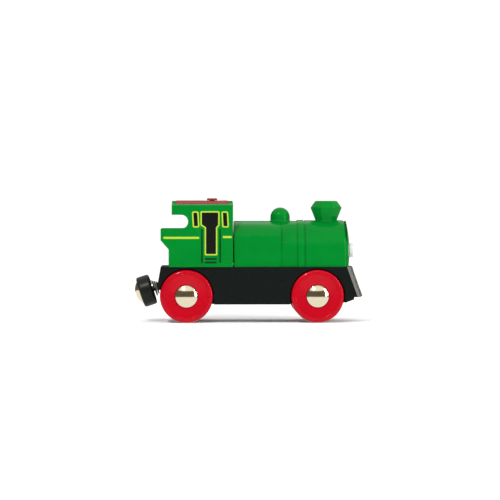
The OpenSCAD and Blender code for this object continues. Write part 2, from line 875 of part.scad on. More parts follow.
module battery_plates() {
    color(nickel) {
        block([front_wall_x - contact_t, -5, cell_z - 5], [front_wall_x, 5, cell_z + 5]);
        block([front_wall_x - contact_t, -5, cell_z + 3], [front_wall_x + contact_wall, 5, cell_z + 3.4]);
        block([rear_wall_x + rear_wall_t, -5, cell_z - 5], [rear_wall_x + rear_wall_t + contact_t, 5, cell_z + 5]);
        block([rear_wall_x, -5, cell_z + 3], [rear_wall_x + rear_wall_t + contact_t, 5, cell_z + 3.4]);
    }
}

module battery_spring() {
    wire = 0.3;
    room = spring_len - contact_t - 2 * wire;
    color(steel) translate([cell_x - wire, 0, cell_z]) {
        tube_along(coil_points(2, 4.2, room, 2), wire, [1, 0.001, 0]);
    }
}

module wire(points) {
    tube_along(points, wire_r, [0.3, 0.9, 0.31]);
}

module wire_positive() {
    color(red) wire([
        [front_wall_x + 0.9, 4.4, cell_z + 3.4 + wire_gap + wire_r],
        [front_wall_x + 0.9, 6.3, cell_z + 3.4 + wire_gap + wire_r], [front_wall_x + 0.9, wire_y, cell_z + 2],
        [front_wall_x + 0.4, wire_y, wire_z + 2], [front_wall_x - 1, wire_y, wire_z],
        [cab_screw_x + 1.2, wire_y, wire_z], [cab_screw_x - 0.2, wire_y, wire_z + 2],
        [cab_screw_x - 0.2, wire_y, switch_z - switch_t - 5], [button_x + 4, 4, switch_z - switch_t - 2.2],
        [button_x + 4, 4, switch_z - switch_t - wire_gap]
    ]);
}

module wire_negative() {
    top = motor_z + motor_h + endcap_h + 0.9;
    color(black) wire([
        [rear_wall_x + 0.35, -3, cell_z + 3.4 + wire_gap], [rear_wall_x + 0.35, -3, top - 0.8],
        [rear_wall_x - 1.4, -4.6, top], [motor_x + 1 + wire_gap, -4.6, top]
    ]);
}

module wire_motor() {
    top = motor_z + motor_h + endcap_h + 0.9;
    color(red) wire([
        [motor_x - 1 - wire_gap, 4.6, top], [motor_x - 3, 4.6, top], [motor_x - 3.6, 4, top + 2.4],
        [button_x - 4, 3, switch_z - switch_t - 2.2], [button_x - 4, 3, switch_z - switch_t - wire_gap]
    ]);
}

// Boiler hood ------------------------------------------------------------------

module firebox_section() {
    intersection() {
        translate([-firebox_w / 2, deck_z]) square([firebox_w, boiler_z - deck_z]);
        translate([0, boiler_z - firebox_arc_r]) circle(firebox_arc_r, $fn = 128);
    }
}

// Round top on straight sides.
module barrel_section(radius) {
    translate([-radius, deck_z]) square([2 * radius, boiler_z - barrel_r - deck_z]);
    intersection() {
        translate([0, boiler_z - barrel_r]) circle(radius, $fn = 128);
        translate([-radius, deck_z]) square([2 * radius, boiler_z + radius]);
    }
}

// The smokebox with its rounded front edge and bulging door.
module smokebox() {
    centre_z = boiler_z - barrel_r;
    flat_r = smokebox_r - nose_r;
    x0 = barrel_x1 - 0.1;
    length = hood_x1 - x0;
    door_r = flat_r + 0.8;
    bulge_r = (door_r * door_r + door_bulge * door_bulge) / (2 * door_bulge);
    translate([x0, 0, centre_z]) rotate([0, 90, 0]) rotate_extrude($fn = 128) {
        square([flat_r, length]);
        square([smokebox_r, length - nose_r]);
        translate([flat_r, length - nose_r]) circle(nose_r);
    }
    block([x0, -smokebox_r, deck_z], [hood_x1 - nose_r, smokebox_r, centre_z]);
    block([x0, -flat_r, deck_z], [hood_x1, flat_r, centre_z]);
    for (side = [-1, 1]) {
        translate([hood_x1 - nose_r, side * flat_r, deck_z]) cylinder(r = nose_r, h = centre_z - deck_z);
    }
    intersection() {
        translate([hood_x1 + door_bulge - bulge_r, 0, centre_z]) sphere(bulge_r, $fn = 256);
        block([hood_x1 - 0.5, -door_r, deck_z], [hood_x1 + 4, door_r, boiler_z]);
    }
}

module boiler_hood() {
    boss_top = screw_seat_z + screw_len + 1;
    color(green) difference() {
        union() {
            difference() {
                union() {
                    cross_extrude(hood_x0, firebox_len) firebox_section();
                    cross_extrude(firebox_x1 - 0.1, barrel_len + 0.2) barrel_section(barrel_r);
                    cross_extrude(barrel_x1 - 0.8 - band_w, band_w) barrel_section(barrel_r + band_rise);
                    smokebox();
                }
                cross_extrude(hood_x0 - over, hood_wall_x - hood_x0 + over) translate([0, -1]) {
                    barrel_section(hollow_r);
                }
                block([hood_x0 - over, -hollow_r, deck_z - over], [hood_wall_x, hollow_r, deck_z + 1.5]);
            }
            for (p = hood_screw_xy) {
                screw_boss([p[0], p[1]], boss_top, hollow_r + 0.5, 0);
            }
        }
        block([barrel_x1 - 1, -cab_half, belly_z], [hood_x1 + 4, cab_half, deck_z]);
        block([hood_screw_x - 4, -hollow_r, deck_z - over], [hood_screw_x + 4, hollow_r, plinth_z + 0.1]);
        for (p = hood_screw_xy) {
            translate([p[0], p[1], deck_z]) cylinder(r = screw_d / 2 + run_clear, h = boss_top - 0.4 - deck_z);
        }
        translate([hood_wall_x - over, 0, lamp_z]) rotate([0, 90, 0]) cylinder(d = lamp_d - 2, h = 5);
        translate([dome_x, 0, boiler_z - seat_sink]) cylinder(r = dome_r - 1, h = 3);
        translate([stack_x, 0, boiler_z - seat_sink]) cylinder(d = stack_neck_w - 2, h = 3);
    }
}

module steam_dome() {
    stand = dome_rise - dome_r;
    color(green) translate([dome_x, 0, boiler_z]) {
        difference() {
            union() {
                translate([0, 0, stand]) sphere(dome_r);
                translate([0, 0, -1]) cylinder(r = dome_r, h = stand + 1);
                translate([0, 0, -1]) cylinder(r = dome_r + 0.5, h = 1.7);
            }
            translate([-dome_r - 2, 0, -barrel_r]) rotate([0, 90, 0]) {
                cylinder(r = barrel_r, h = dome_d + 4, $fn = 128);
            }
            translate([-dome_r - 2, 0, -firebox_arc_r]) rotate([0, 90, 0]) {
                cylinder(r = firebox_arc_r, h = firebox_x1 - dome_x + dome_r + 2, $fn = 128);
            }
        }
        translate([0, 0, -seat_sink]) cylinder(r = dome_r - 1, h = seat_sink + 1);
    }
}

function eight_sided(w) = [for (i = [0 : 7]) w / 2 / cos(22.5) * [cos(22.5 + 45 * i), sin(22.5 + 45 * i)]];

// A frustum with eight sides, given its two widths over flats.
module eight_cone(w0, w1, h) {
    low = [for (p = eight_sided(w0)) [p[0], p[1], 0]];
    high = [for (p = eight_sided(w1)) [p[0], p[1], h]];
    skin = [for (i = [0 : 7]) [i, i + 8, (i + 1) % 8 + 8, (i + 1) % 8]];
    polyhedron(concat(low, high), concat(skin, [[0, 1, 2, 3, 4, 5, 6, 7]], [[15, 14, 13, 12, 11, 10, 9, 8]]));
}

module chimney() {
    flare_h = stack_h - stack_cap_h - 0.6;
    color(green) translate([stack_x, 0, boiler_z]) difference() {
        union() {
            translate([0, 0, 0.6]) eight_cone(stack_neck_w, stack_w, flare_h);
            translate([0, 0, 0.6 + flare_h]) eight_cone(stack_w, stack_top_w, stack_cap_h);
            difference() {
                translate([0, 0, -1]) cylinder(d = stack_neck_w + 0.6, h = 1.7);
                translate([-10, 0, -barrel_r]) rotate([0, 90, 0]) cylinder(r = smokebox_r, h = 20, $fn = 128);
            }
            translate([0, 0, -seat_sink]) cylinder(d = stack_neck_w - 2, h = seat_sink + 1);
        }
        translate([0, 0, stack_h - stack_bore_h]) cylinder(d = stack_bore_w, h = stack_bore_h + over);
    }
}

module headlamp_bezel() {
    color(white) translate([hood_wall_x, 0, lamp_z]) rotate([0, 90, 0]) difference() {
        union() {
            cylinder(d = lamp_d - 2, h = shell_wall + door_bulge);
            translate([0, 0, shell_wall + door_bulge]) cylinder(d = lamp_d, h = lamp_len);
        }
        translate([0, 0, shell_wall + door_bulge + 0.6]) cylinder(d = lens_d, h = lamp_len);
    }
}

module headlamp_lens() {
    x = hood_x1 + door_bulge + 0.6;
    color(white) translate([x, 0, lamp_z]) rotate([0, 90, 0]) {
        cylinder(d = lens_d, h = lamp_len - 0.6 - 0.3);
    }
}

// Coupler ------------------------------------------------------------------------

module coupler_post() {
    color(steel) translate([post_x, 0, belly_z]) cylinder(r = post_r, h = coupler_z + 4.5 - belly_z);
}

module coupler_arm() {
    color(black) difference() {
        union() {
            translate([post_x, 0, coupler_z - arm_t / 2]) cylinder(r = eye_r, h = arm_t);
            block([pivot_x, -tongue_w / 2, coupler_z - tongue_r], [post_x - 0.5, tongue_w / 2, coupler_z + tongue_r]);
            translate([pivot_x, -tongue_w / 2, coupler_z]) along_y() cylinder(r = tongue_r, h = tongue_w);
        }
        translate([post_x, 0, coupler_z - arm_t]) cylinder(r = post_r + run_clear, h = 2 * arm_t);
        translate([pivot_x, -tongue_w, coupler_z]) along_y() cylinder(r = pin_r + run_clear, h = 2 * tongue_w);
    }
}

// Places a piece of the coupler head, drawn level with its pivot at the origin.
module at_head() {
    translate([pivot_x, 0, coupler_z]) rotate([0, -droop, 0]) children();
}

// Turns a shape drawn upright round Z so that its axis points to the rear.
module to_rear() {
    rotate([0, -90, 0]) children();
}

module coupler_pin() {
    half = tongue_w / 2 + ear_gap + ear_w;
    color(steel) at_head() translate([0, -half, 0]) along_y() cylinder(r = pin_r, h = 2 * half);
}

module magnet_holder() {
    ear_y = tongue_w / 2 + ear_gap;
    seat_r = magnet_r + 0.1;
    color(black) at_head() difference() {
        union() {
            translate([-holder_x, 0, 0]) to_rear() rotate_extrude() {
                square([holder_r - holder_round, holder_t]);
                translate([0, holder_round]) square([holder_r, holder_t - 2 * holder_round]);
                translate([holder_r - holder_round, holder_round]) circle(holder_round);
                translate([holder_r - holder_round, holder_t - holder_round]) circle(holder_round);
            }
            for (side = [-1, 1]) {
                low_y = side > 0 ? ear_y : -ear_y - ear_w;
                block([-holder_x - 0.1, low_y, -tongue_r], [0, low_y + ear_w, tongue_r]);
                translate([0, low_y, 0]) along_y() cylinder(r = tongue_r, h = ear_w);
            }
        }
        translate([-holder_x - holder_t + magnet_depth, 0, 0]) to_rear() cylinder(r = seat_r, h = magnet_depth + over);
        translate([0, -holder_r, 0]) along_y() cylinder(r = pin_r, h = holder_d);
    }
}

module magnet() {
    color(black) at_head() translate([-holder_x - holder_t + magnet_depth, 0, 0]) {
        to_rear() cylinder(r = magnet_r - magnet_cap_t, h = magnet_depth - 0.2);
    }
}

// Drawn cup over the magnet: a straight wall in the holder and a domed end.
module magnet_cap() {
    inner_r = magnet_r - magnet_cap_t;
    color(nickel) at_head() translate([-holder_x - holder_t + magnet_depth, 0, 0]) to_rear() difference() {
        intersection() {
            translate([0, 0, magnet_depth + magnet_rise - magnet_dome_r]) sphere(magnet_dome_r, $fn = 128);
            cylinder(r = magnet_r, h = magnet_depth + magnet_rise + 1);
        }
        translate([0, 0, -over]) cylinder(r = inner_r, h = magnet_depth - 0.2 + over);
    }
}

module coupler_spring() {
    color(steel) at_head() translate([0.9, 0, 0]) {
        tube_along(coil_points(2.3, 4.1, holder_x + 0.9 - spring_wire_r, 2.5), spring_wire_r, [1, 0.001, 0]);
    }
}

placed() chassis_frame();
placed() bottom_plate();
placed() plate_screws();
placed() plow();
placed() coupler_post();
placed() cab_shell();
placed() cab_screws();
placed() roof_panel();
placed() switch_base();
placed() motor_can();
placed() motor_endcap();
placed() battery();
placed() battery_spring();
placed() battery_plates();
placed() wire_positive();
placed() wire_negative();
placed() wire_motor();
placed() hood_screws();
placed() boiler_hood();
placed() chimney();
placed() steam_dome();
placed() headlamp_bezel();
placed() headlamp_lens();
placed() switch_button();
placed() switch_blade();
placed() rear_axle();
placed() axle_gear();
placed() wheel(rear_axle_x, 1, true);  // rear_wheel_left
placed() wheel(rear_axle_x, -1, true);  // rear_wheel_right
placed() tyre(1);  // tyre_left
placed() tyre(-1);  // tyre_right
placed() hub_cap(rear_axle_x, 1);  // rear_cap_left
placed() hub_cap(rear_axle_x, -1);  // rear_cap_right
placed() front_axle();
placed() wheel(front_axle_x, 1, false);  // front_wheel_left
placed() wheel(front_axle_x, -1, false);  // front_wheel_right
placed() hub_cap(front_axle_x, 1);  // front_cap_left
placed() hub_cap(front_axle_x, -1);  // front_cap_right
placed() motor_shaft();
placed() worm();
placed() coupler_arm();
placed() coupler_pin();
placed() magnet_holder();
placed() magnet();
placed() magnet_cap();
placed() coupler_spring();
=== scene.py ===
"""Looks of a battery-driven toy steam engine for grooved wooden track.

Each sub-assembly is a class that holds its own sizes, builds its meshes and gives them their finish.
Sizes in the classes are millimetres. Meshes are in metres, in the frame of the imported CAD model.
"""

import json
import logging
import math
from dataclasses import dataclass, field
from enum import Enum
from typing import ClassVar

import bmesh
import bpy
from mathutils import Matrix, Vector


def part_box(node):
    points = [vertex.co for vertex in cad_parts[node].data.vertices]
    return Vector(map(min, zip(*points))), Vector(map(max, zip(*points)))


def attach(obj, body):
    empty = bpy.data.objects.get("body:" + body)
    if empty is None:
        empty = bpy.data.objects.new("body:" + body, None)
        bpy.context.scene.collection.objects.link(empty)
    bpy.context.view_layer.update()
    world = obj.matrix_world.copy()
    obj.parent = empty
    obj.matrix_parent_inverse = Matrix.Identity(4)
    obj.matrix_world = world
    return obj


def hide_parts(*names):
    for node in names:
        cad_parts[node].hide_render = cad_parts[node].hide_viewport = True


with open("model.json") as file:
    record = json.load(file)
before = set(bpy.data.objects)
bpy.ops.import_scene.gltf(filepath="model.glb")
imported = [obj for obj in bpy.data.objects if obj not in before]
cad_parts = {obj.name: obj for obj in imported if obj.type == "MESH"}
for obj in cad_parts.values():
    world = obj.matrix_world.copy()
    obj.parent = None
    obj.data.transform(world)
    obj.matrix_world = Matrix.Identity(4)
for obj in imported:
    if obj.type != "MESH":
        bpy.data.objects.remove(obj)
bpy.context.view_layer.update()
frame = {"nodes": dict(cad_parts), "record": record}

MM = 0.001
Colour = tuple[float, float, float]
Point = tuple[float, float]
Corner = tuple[float, float, float]

log = logging.getLogger("engine")


class Side(Enum):
    """The two sides of the engine, as the sign of Y."""

    LEFT = 1
    RIGHT = -1


# Finishes ---------------------------------------------------------------------


class Recipe:
    """A material's node tree, with short calls for the nodes that the finishes share."""

    def __init__(self, name: str) -> None:
        """Starts an empty recipe.

        Args:
            name: name of the finish.
        """
        self.material = bpy.data.materials.new(f"{name}_finish")
        self.material.use_nodes = True
        self.tree = self.material.node_tree
        self.shader = self.tree.nodes["Principled BSDF"]
        self.coordinates = self.add("ShaderNodeTexCoord").outputs["Object"]

    def add(self, kind: str) -> bpy.types.Node:
        """Adds a node of a kind and returns it."""
        return self.tree.nodes.new(kind)

    def link(self, source: bpy.types.NodeSocket, target: bpy.types.NodeSocket) -> None:
        """Links an output to an input."""
        self.tree.links.new(source, target)

    def set(self, **values: float) -> None:
        """Sets constants on the shader, each keyed by its socket's name in small letters.

        Args:
            **values: socket values, such as coat_weight=0.2.
        """
        for key, value in values.items():
            words = key.replace("_", " ").title().replace("Ior", "IOR")
            self.shader.inputs[words].default_value = value

    def noise(self, size: float, detail: float = 3.0, stretch: Corner = (1, 1, 1)) -> bpy.types.NodeSocket:
        """A noise on the object's own coordinates.

        Args:
            size: width of a typical blotch, in millimetres.
            detail: octaves of finer noise.
            stretch: how much longer the blotches are along X, Y and Z.

        Returns:
            The noise value socket.
        """
        mapping = self.add("ShaderNodeMapping")
        mapping.inputs["Scale"].default_value = [1 / length for length in stretch]
        self.link(self.coordinates, mapping.inputs["Vector"])
        texture = self.add("ShaderNodeTexNoise")
        texture.inputs["Scale"].default_value = 1 / (size * MM)
        texture.inputs["Detail"].default_value = detail
        self.link(mapping.outputs["Vector"], texture.inputs["Vector"])
        return texture.outputs["Fac"]

    def remap(self, value: bpy.types.NodeSocket, span: Point, result: Point) -> bpy.types.NodeSocket:
        """Maps a value from one span to another and clamps it.

        Args:
            value: socket to read.
            span: lowest and highest value read.
            result: values given at the two ends of the span.

        Returns:
            The mapped value socket.
        """
        node = self.add("ShaderNodeMapRange")
        for socket, number in zip(node.inputs[1:5], (*span, *result)):
            socket.default_value = number
        self.link(value, node.inputs["Value"])
        return node.outputs["Result"]

    def mix(self, factor: bpy.types.NodeSocket, first: Colour, second: Colour) -> bpy.types.NodeSocket:
        """A colour between two colours.

        Args:
            factor: socket that is 0 for the first colour and 1 for the second.
            first: first colour.
            second: second colour.

        Returns:
            The colour socket.
        """
        node = self.add("ShaderNodeMix")
        node.data_type = "RGBA"
        self.link(factor, node.inputs["Factor"])
        for socket in node.inputs:
            if socket.type == "RGBA":
                socket.default_value = (*(first if socket.identifier.startswith("A") else second), 1)
        return next(socket for socket in node.outputs if socket.type == "RGBA")

    def add_values(self, first: bpy.types.NodeSocket, second: bpy.types.NodeSocket) -> bpy.types.NodeSocket:
        """The sum of two values."""
        node = self.add("ShaderNodeMath")
        node.operation = "ADD"
        self.link(first, node.inputs[0])
        self.link(second, node.inputs[1])
        return node.outputs[0]

    def bump(self, height: bpy.types.NodeSocket, depth: float) -> None:
        """Roughens the surface on top of any bump already there.

        Args:
            height: socket with heights from 0 to 1.
            depth: height of a full step, in millimetres.
        """
        node = self.add("ShaderNodeBump")
        node.inputs["Distance"].default_value = depth * MM
        self.link(height, node.inputs["Height"])
        if self.shader.inputs["Normal"].links:
            self.link(self.shader.inputs["Normal"].links[0].from_socket, node.inputs["Normal"])
        self.link(node.outputs["Normal"], self.shader.inputs["Normal"])

    def colour(self, socket: bpy.types.NodeSocket) -> None:
        """Feeds the shader's base colour."""
        self.link(socket, self.shader.inputs["Base Color"])

    def roughness(self, socket: bpy.types.NodeSocket) -> None:
        """Feeds the shader's roughness."""
        self.link(socket, self.shader.inputs["Roughness"])


def shade(colour: Colour, factor: float) -> Colour:
    """A colour made darker or lighter by a factor."""
    return tuple(min(1.0, channel * factor) for channel in colour)


@dataclass(frozen=True)
class MouldedPlastic:
    """Coloured moulded plastic with a faint orange peel, fine scuffs and slightly uneven pigment."""

    name: str
    tint: Colour
    gloss: float = 0.3
    coat: float = 0.03
    peel: float = 0.012
    scuffs: float = 0.16
    shine: float = 0.14

    def make(self) -> bpy.types.Material:
        """Builds the material."""
        recipe = Recipe(self.name)
        pigment = recipe.remap(recipe.noise(7), (0.3, 0.7), (0, 1))
        recipe.colour(recipe.mix(pigment, shade(self.tint, 0.94), shade(self.tint, 1.05)))
        base = recipe.remap(recipe.noise(2.5), (0.3, 0.7), (self.gloss * 0.9, self.gloss * 1.15))
        lines = recipe.remap(recipe.noise(0.5, 4, (9, 1, 1)), (0.62, 0.74), (0, self.scuffs))
        recipe.roughness(recipe.add_values(base, lines))
        recipe.bump(recipe.noise(1.6, 2), self.peel)
        recipe.bump(recipe.noise(0.16, 2), 0.002)
        recipe.set(coat_weight=self.coat, coat_roughness=0.08, specular_ior_level=self.shine)
        return recipe.material


@dataclass(frozen=True)
class WorkedMetal:
    """Bare or plated metal with the marks of its drawing, turning or plating."""

    name: str
    tint: Colour
    polish: float = 0.25
    stretch: Corner = (8, 1, 1)
    marks: float = 0.003

    def make(self) -> bpy.types.Material:
        """Builds the material."""
        recipe = Recipe(self.name)
        lines = recipe.noise(0.25, 4, self.stretch)
        tone = recipe.remap(lines, (0.3, 0.7), (0, 1))
        recipe.colour(recipe.mix(tone, shade(self.tint, 0.9), shade(self.tint, 1.05)))
        recipe.roughness(recipe.remap(lines, (0.3, 0.7), (self.polish * 0.8, self.polish * 1.25)))
        recipe.bump(lines, self.marks)
        recipe.set(metallic=1.0)
        return recipe.material


@dataclass(frozen=True)
class SilverPaint:
    """Silver paint with fine flakes, over a stamped grille."""

    name: str
    tint: Colour

    def make(self) -> bpy.types.Material:
        """Builds the material."""
        recipe = Recipe(self.name)
        flakes = recipe.remap(recipe.noise(0.09, 2), (0.4, 0.65), (0, 1))
        recipe.colour(recipe.mix(flakes, shade(self.tint, 0.82), shade(self.tint, 1.15)))
        recipe.roughness(recipe.remap(recipe.noise(1.2), (0.3, 0.7), (0.3, 0.42)))
        recipe.bump(recipe.noise(0.4, 3), 0.006)
        recipe.set(metallic=0.75, coat_weight=0.2)
        return recipe.material


@dataclass(frozen=True)
class DustyMatt:
    """Matt rubber or cloth with a dusty bloom."""

    name: str
    tint: Colour

    def make(self) -> bpy.types.Material:
        """Builds the material."""
        recipe = Recipe(self.name)
        bloom = recipe.remap(recipe.noise(1.8, 5), (0.45, 0.7), (0, 1))
        recipe.colour(recipe.mix(bloom, self.tint, shade(self.tint, 1.5)))
        recipe.roughness(recipe.remap(bloom, (0, 1), (0.68, 0.85)))
        recipe.bump(recipe.noise(0.2, 3), 0.01)
        return recipe.material


@dataclass(frozen=True)
class PadInk:
    """Opaque ink laid on plastic by a printing pad, with a hint of pinholes."""

    name: str
    tint: Colour
    gloss: float = 0.36

    def make(self) -> bpy.types.Material:
        """Builds the material."""
        recipe = Recipe(self.name)
        pinholes = recipe.remap(recipe.noise(0.18, 2), (0.66, 0.72), (0, 1))
        recipe.colour(recipe.mix(pinholes, self.tint, shade(self.tint, 0.8)))
        recipe.roughness(recipe.remap(recipe.noise(1.1), (0.3, 0.7), (self.gloss * 0.9, self.gloss * 1.2)))
        recipe.bump(recipe.noise(0.3, 2), 0.004)
        recipe.set(specular_ior_level=0.12)
        return recipe.material


@dataclass(frozen=True)
class CellSleeve:
    """Shrunk sleeve of a round cell: a dark body with one copper-coloured band at its head."""

    name: str
    body_tint: Colour
    head_tint: Colour
    head_from: float

    def make(self) -> bpy.types.Material:
        """Builds the material."""
        recipe = Recipe(self.name)
        axes = recipe.add("ShaderNodeSeparateXYZ")
        recipe.link(recipe.coordinates, axes.inputs["Vector"])
        band = recipe.remap(axes.outputs["X"], (self.head_from * MM, (self.head_from + 0.1) * MM), (0, 1))
        recipe.colour(recipe.mix(band, self.body_tint, self.head_tint))
        recipe.roughness(recipe.remap(recipe.noise(1.5), (0.3, 0.7), (0.2, 0.32)))
        recipe.bump(recipe.noise(3, 1, (5, 1, 1)), 0.01)
        recipe.set(coat_weight=0.3)
        return recipe.material


@dataclass(frozen=True)
class ClearPlastic:
    """Clear moulded lens with a faint flow pattern."""

    name: str
    tint: Colour

    def make(self) -> bpy.types.Material:
        """Builds the material."""
        recipe = Recipe(self.name)
        flow = recipe.remap(recipe.noise(1.4, 2), (0.3, 0.7), (0, 1))
        recipe.colour(recipe.mix(flow, self.tint, shade(self.tint, 1.04)))
        recipe.roughness(recipe.remap(flow, (0, 1), (0.06, 0.12)))
        recipe.bump(recipe.noise(0.8, 2), 0.006)
        recipe.set(transmission_weight=0.45, ior=1.49)
        return recipe.material


@dataclass(frozen=True)
class StudioPaper:
    """Pale seamless paper for the floor."""

    name: str
    tint: Colour

    def make(self) -> bpy.types.Material:
        """Builds the material."""
        recipe = Recipe(self.name)
        tone = recipe.remap(recipe.noise(60), (0.3, 0.7), (0, 1))
        recipe.colour(recipe.mix(tone, shade(self.tint, 0.985), self.tint))
        recipe.roughness(recipe.remap(tone, (0, 1), (0.5, 0.6)))
        recipe.bump(recipe.noise(0.5, 3), 0.01)
        recipe.set(specular_ior_level=0.0)
        return recipe.material


class Finish(Enum):
    """Every finish on the engine, by the name of the record's slot or of the print that it is for."""

    CHASSIS_BLACK = MouldedPlastic("chassis_black", (0.0042, 0.0066, 0.0058), 0.3, 0.0, 0.014, shine=0.12)
    SHELL_GREEN = MouldedPlastic("shell_green", (0.0002, 0.168, 0.0172), 0.15, 0.0, shine=0.07)
    TRIM_RED = MouldedPlastic("trim_red", (0.24, 0.035, 0.032), 0.36, 0.0, shine=0.03)
    WHEEL_RED = MouldedPlastic("wheel_red", (0.4, 0.0004, 0.0085), 0.15, 0.04, 0.006)
    CAP_NICKEL = WorkedMetal("cap_nickel", (0.8, 0.71, 0.52), 0.11, (1, 1, 1), 0.0008)
    STEEL = WorkedMetal("steel", (0.8, 0.77, 0.68), 0.3)
    SCREW_STEEL = WorkedMetal("screw_steel", (0.48, 0.48, 0.49), 0.3, (1, 1, 6))
    MOTOR_STEEL = WorkedMetal("motor_steel", (0.55, 0.55, 0.54), 0.3, (1, 1, 10), 0.004)
    MOTOR_CAP_WHITE = MouldedPlastic("motor_cap_white", (0.72, 0.72, 0.68), 0.45, 0.0)
    GEAR_WHITE = MouldedPlastic("gear_white", (0.8, 0.79, 0.73), 0.42, 0.0)
    BRASS = WorkedMetal("brass", (0.68, 0.46, 0.16), 0.22, (1, 1, 1))
    CONTACT_NICKEL = WorkedMetal("contact_nickel", (0.64, 0.61, 0.55), 0.26, (1, 6, 1))
    PLOW_SILVER = SilverPaint("plow_silver", (0.3, 0.3, 0.285))
    TYRE_RUBBER = DustyMatt("tyre_rubber", (0.15, 0.012, 0.014))
    INNER_BLACK = MouldedPlastic("inner_black", (0.02, 0.02, 0.02), 0.5, 0.0, 0.02)
    COUPLER_BLACK = MouldedPlastic("coupler_black", (0.0085, 0.011, 0.009), 0.32, 0.0, 0.014, shine=0.14)
    MAGNET_GREY = WorkedMetal("magnet_grey", (0.09, 0.09, 0.1), 0.6, (1, 1, 1), 0.02)
    CELL_WRAP = CellSleeve("cell_wrap", (0.016, 0.02, 0.03), (0.5, 0.22, 0.07), 27.0)
    WIRE_RED = MouldedPlastic("wire_red", (0.55, 0.02, 0.02), 0.45, 0.0)
    WIRE_BLACK = MouldedPlastic("wire_black", (0.015, 0.015, 0.015), 0.45, 0.0)
    LAMP_WHITE = MouldedPlastic("lamp_white", (0.82, 0.82, 0.79), 0.25, 0.2)
    LENS_CLEAR = ClearPlastic("lens_clear", (0.9, 0.92, 0.93))
    INK_BLACK = PadInk("ink_black", (0.005, 0.006, 0.005))
    INK_YELLOW = PadInk("ink_yellow", (0.36, 0.48, 0.03))
    # Dark green ink for the printed steps; the same colour is painted shade along the moulded recess on each
    # side of the door.
    INK_DARK_GREEN = PadInk("ink_dark_green", (0.0005, 0.03, 0.008))
    PAPER = StudioPaper("studio_paper", (0.965, 0.965, 0.965))
    CLOTH = DustyMatt("dark_cloth", (0.085, 0.065, 0.04))

    def material(self) -> bpy.types.Material:
        """The finish's material, made on first use."""
        return bpy.data.materials.get(f"{self.value.name}_finish") or self.value.make()


# Shapes -----------------------------------------------------------------------


def soften(corners: list[Corner], segments: int = 5, closed: bool = False) -> list[Point]:
    """Rounds the corners of an outline.

    Args:
        corners: points of the outline, each with the radius of its rounding.
        segments: straight steps in each rounding.
        closed: whether the outline closes on itself, so that its ends are corners too.

    Returns:
        The outline's points with an arc at each rounded corner.
    """
    outline: list[Point] = []
    for index, (x, y, radius) in enumerate(corners):
        here = Vector((x, y))
        if radius <= 0 or (not closed and index in (0, len(corners) - 1)):
            outline.append((x, y))
            continue
        back = (Vector(corners[index - 1][:2]) - here).normalized()
        ahead = (Vector(corners[(index + 1) % len(corners)][:2]) - here).normalized()
        half_angle = back.angle(ahead) / 2
        centre = here + (back + ahead).normalized() * radius / math.sin(half_angle)
        first = here + back * radius / math.tan(half_angle) - centre
        last = here + ahead * radius / math.tan(half_angle) - centre
        turn = first.angle_signed(last)
        for step in range(segments + 1):
            angle = -turn * step / segments
            spun = Matrix.Rotation(angle, 2) @ first
            outline.append(tuple(centre + spun))
    return outline


def rectangle(across: Point, up: Point) -> list[Point]:
    """Corners of a rectangle between two places across and two heights."""
    return [(across[0], up[0]), (across[0], up[1]), (across[1], up[1]), (across[1], up[0])]


def shrink(outline: list[Point], width: float) -> list[Point]:
    """Moves every side of a closed outline inwards.

    Args:
        outline: corners of the outline.
        width: distance that each side moves.

    Returns:
        The corners of the smaller outline.
    """
    pairs = zip(outline, outline[1:] + outline[:1])
    turn = math.copysign(1, sum(x0 * y1 - x1 * y0 for (x0, y0), (x1, y1) in pairs))
    moved: list[Point] = []
    for index, point in enumerate(outline):
        here = Vector(point)
        back = (here - Vector(outline[index - 1])).normalized()
        ahead = (Vector(outline[(index + 1) % len(outline)]) - here).normalized()
        inward = Vector((-ahead.y, ahead.x)) * turn
        mitre = (Vector((-back.y, back.x)) * turn + inward).normalized()
        moved.append(tuple(here + mitre * width / mitre.dot(inward)))
    return moved


def dome(edge_r: float, edge_h: float, rise: float, steps: int = 14) -> list[Point]:
    """A spherical end as a profile from its pole to its edge.

    Args:
        edge_r: radius of the dome's edge.
        edge_h: height of the dome's edge.
        rise: height of the pole over the edge.
        steps: straight steps in the arc.

    Returns:
        Points of radius and height, pole first.
    """
    radius = (edge_r**2 + rise**2) / (2 * rise)
    span = math.asin(min(1.0, edge_r / radius))
    if rise > radius:
        span = math.pi - span
    centre = edge_h + rise - radius
    angles = [span * step / steps for step in range(steps + 1)]
    return [(radius * math.sin(angle), centre + radius * math.cos(angle)) for angle in angles]


def lathe(
    profile: list[Point], origin: Vector, axis: Vector, steps: int = 96, closed: bool = False
) -> bmesh.types.BMesh:
    """Turns a profile a full turn round an axis.

    Args:
        profile: points of radius and height along the axis, in millimetres.
        origin: where height 0 lies, in metres.
        axis: direction in which height grows.
        steps: steps round the turn.
        closed: whether the profile's last point joins its first.

    Returns:
        The turned shape.
    """
    bm = bmesh.new()
    verts = [bm.verts.new((radius * MM, 0, height * MM)) for radius, height in profile]
    pairs = list(zip(verts, verts[1:]))
    if closed:
        pairs.append((verts[-1], verts[0]))
    edges = [bm.edges.new(pair) for pair in pairs]
    bmesh.ops.spin(
        bm, geom=verts + edges, cent=(0, 0, 0), axis=(0, 0, 1), dvec=(0, 0, 0), angle=2 * math.pi,
        steps=steps, use_merge=True,
    )
    bmesh.ops.remove_doubles(bm, verts=bm.verts[:], dist=1e-7)
    turn = Vector((0, 0, 1)).rotation_difference(Vector(axis)).to_matrix().to_4x4()
    bmesh.ops.transform(bm, matrix=Matrix.Translation(origin) @ turn, verts=bm.verts[:])
    bmesh.ops.recalc_face_normals(bm, faces=bm.faces[:])
    return bm


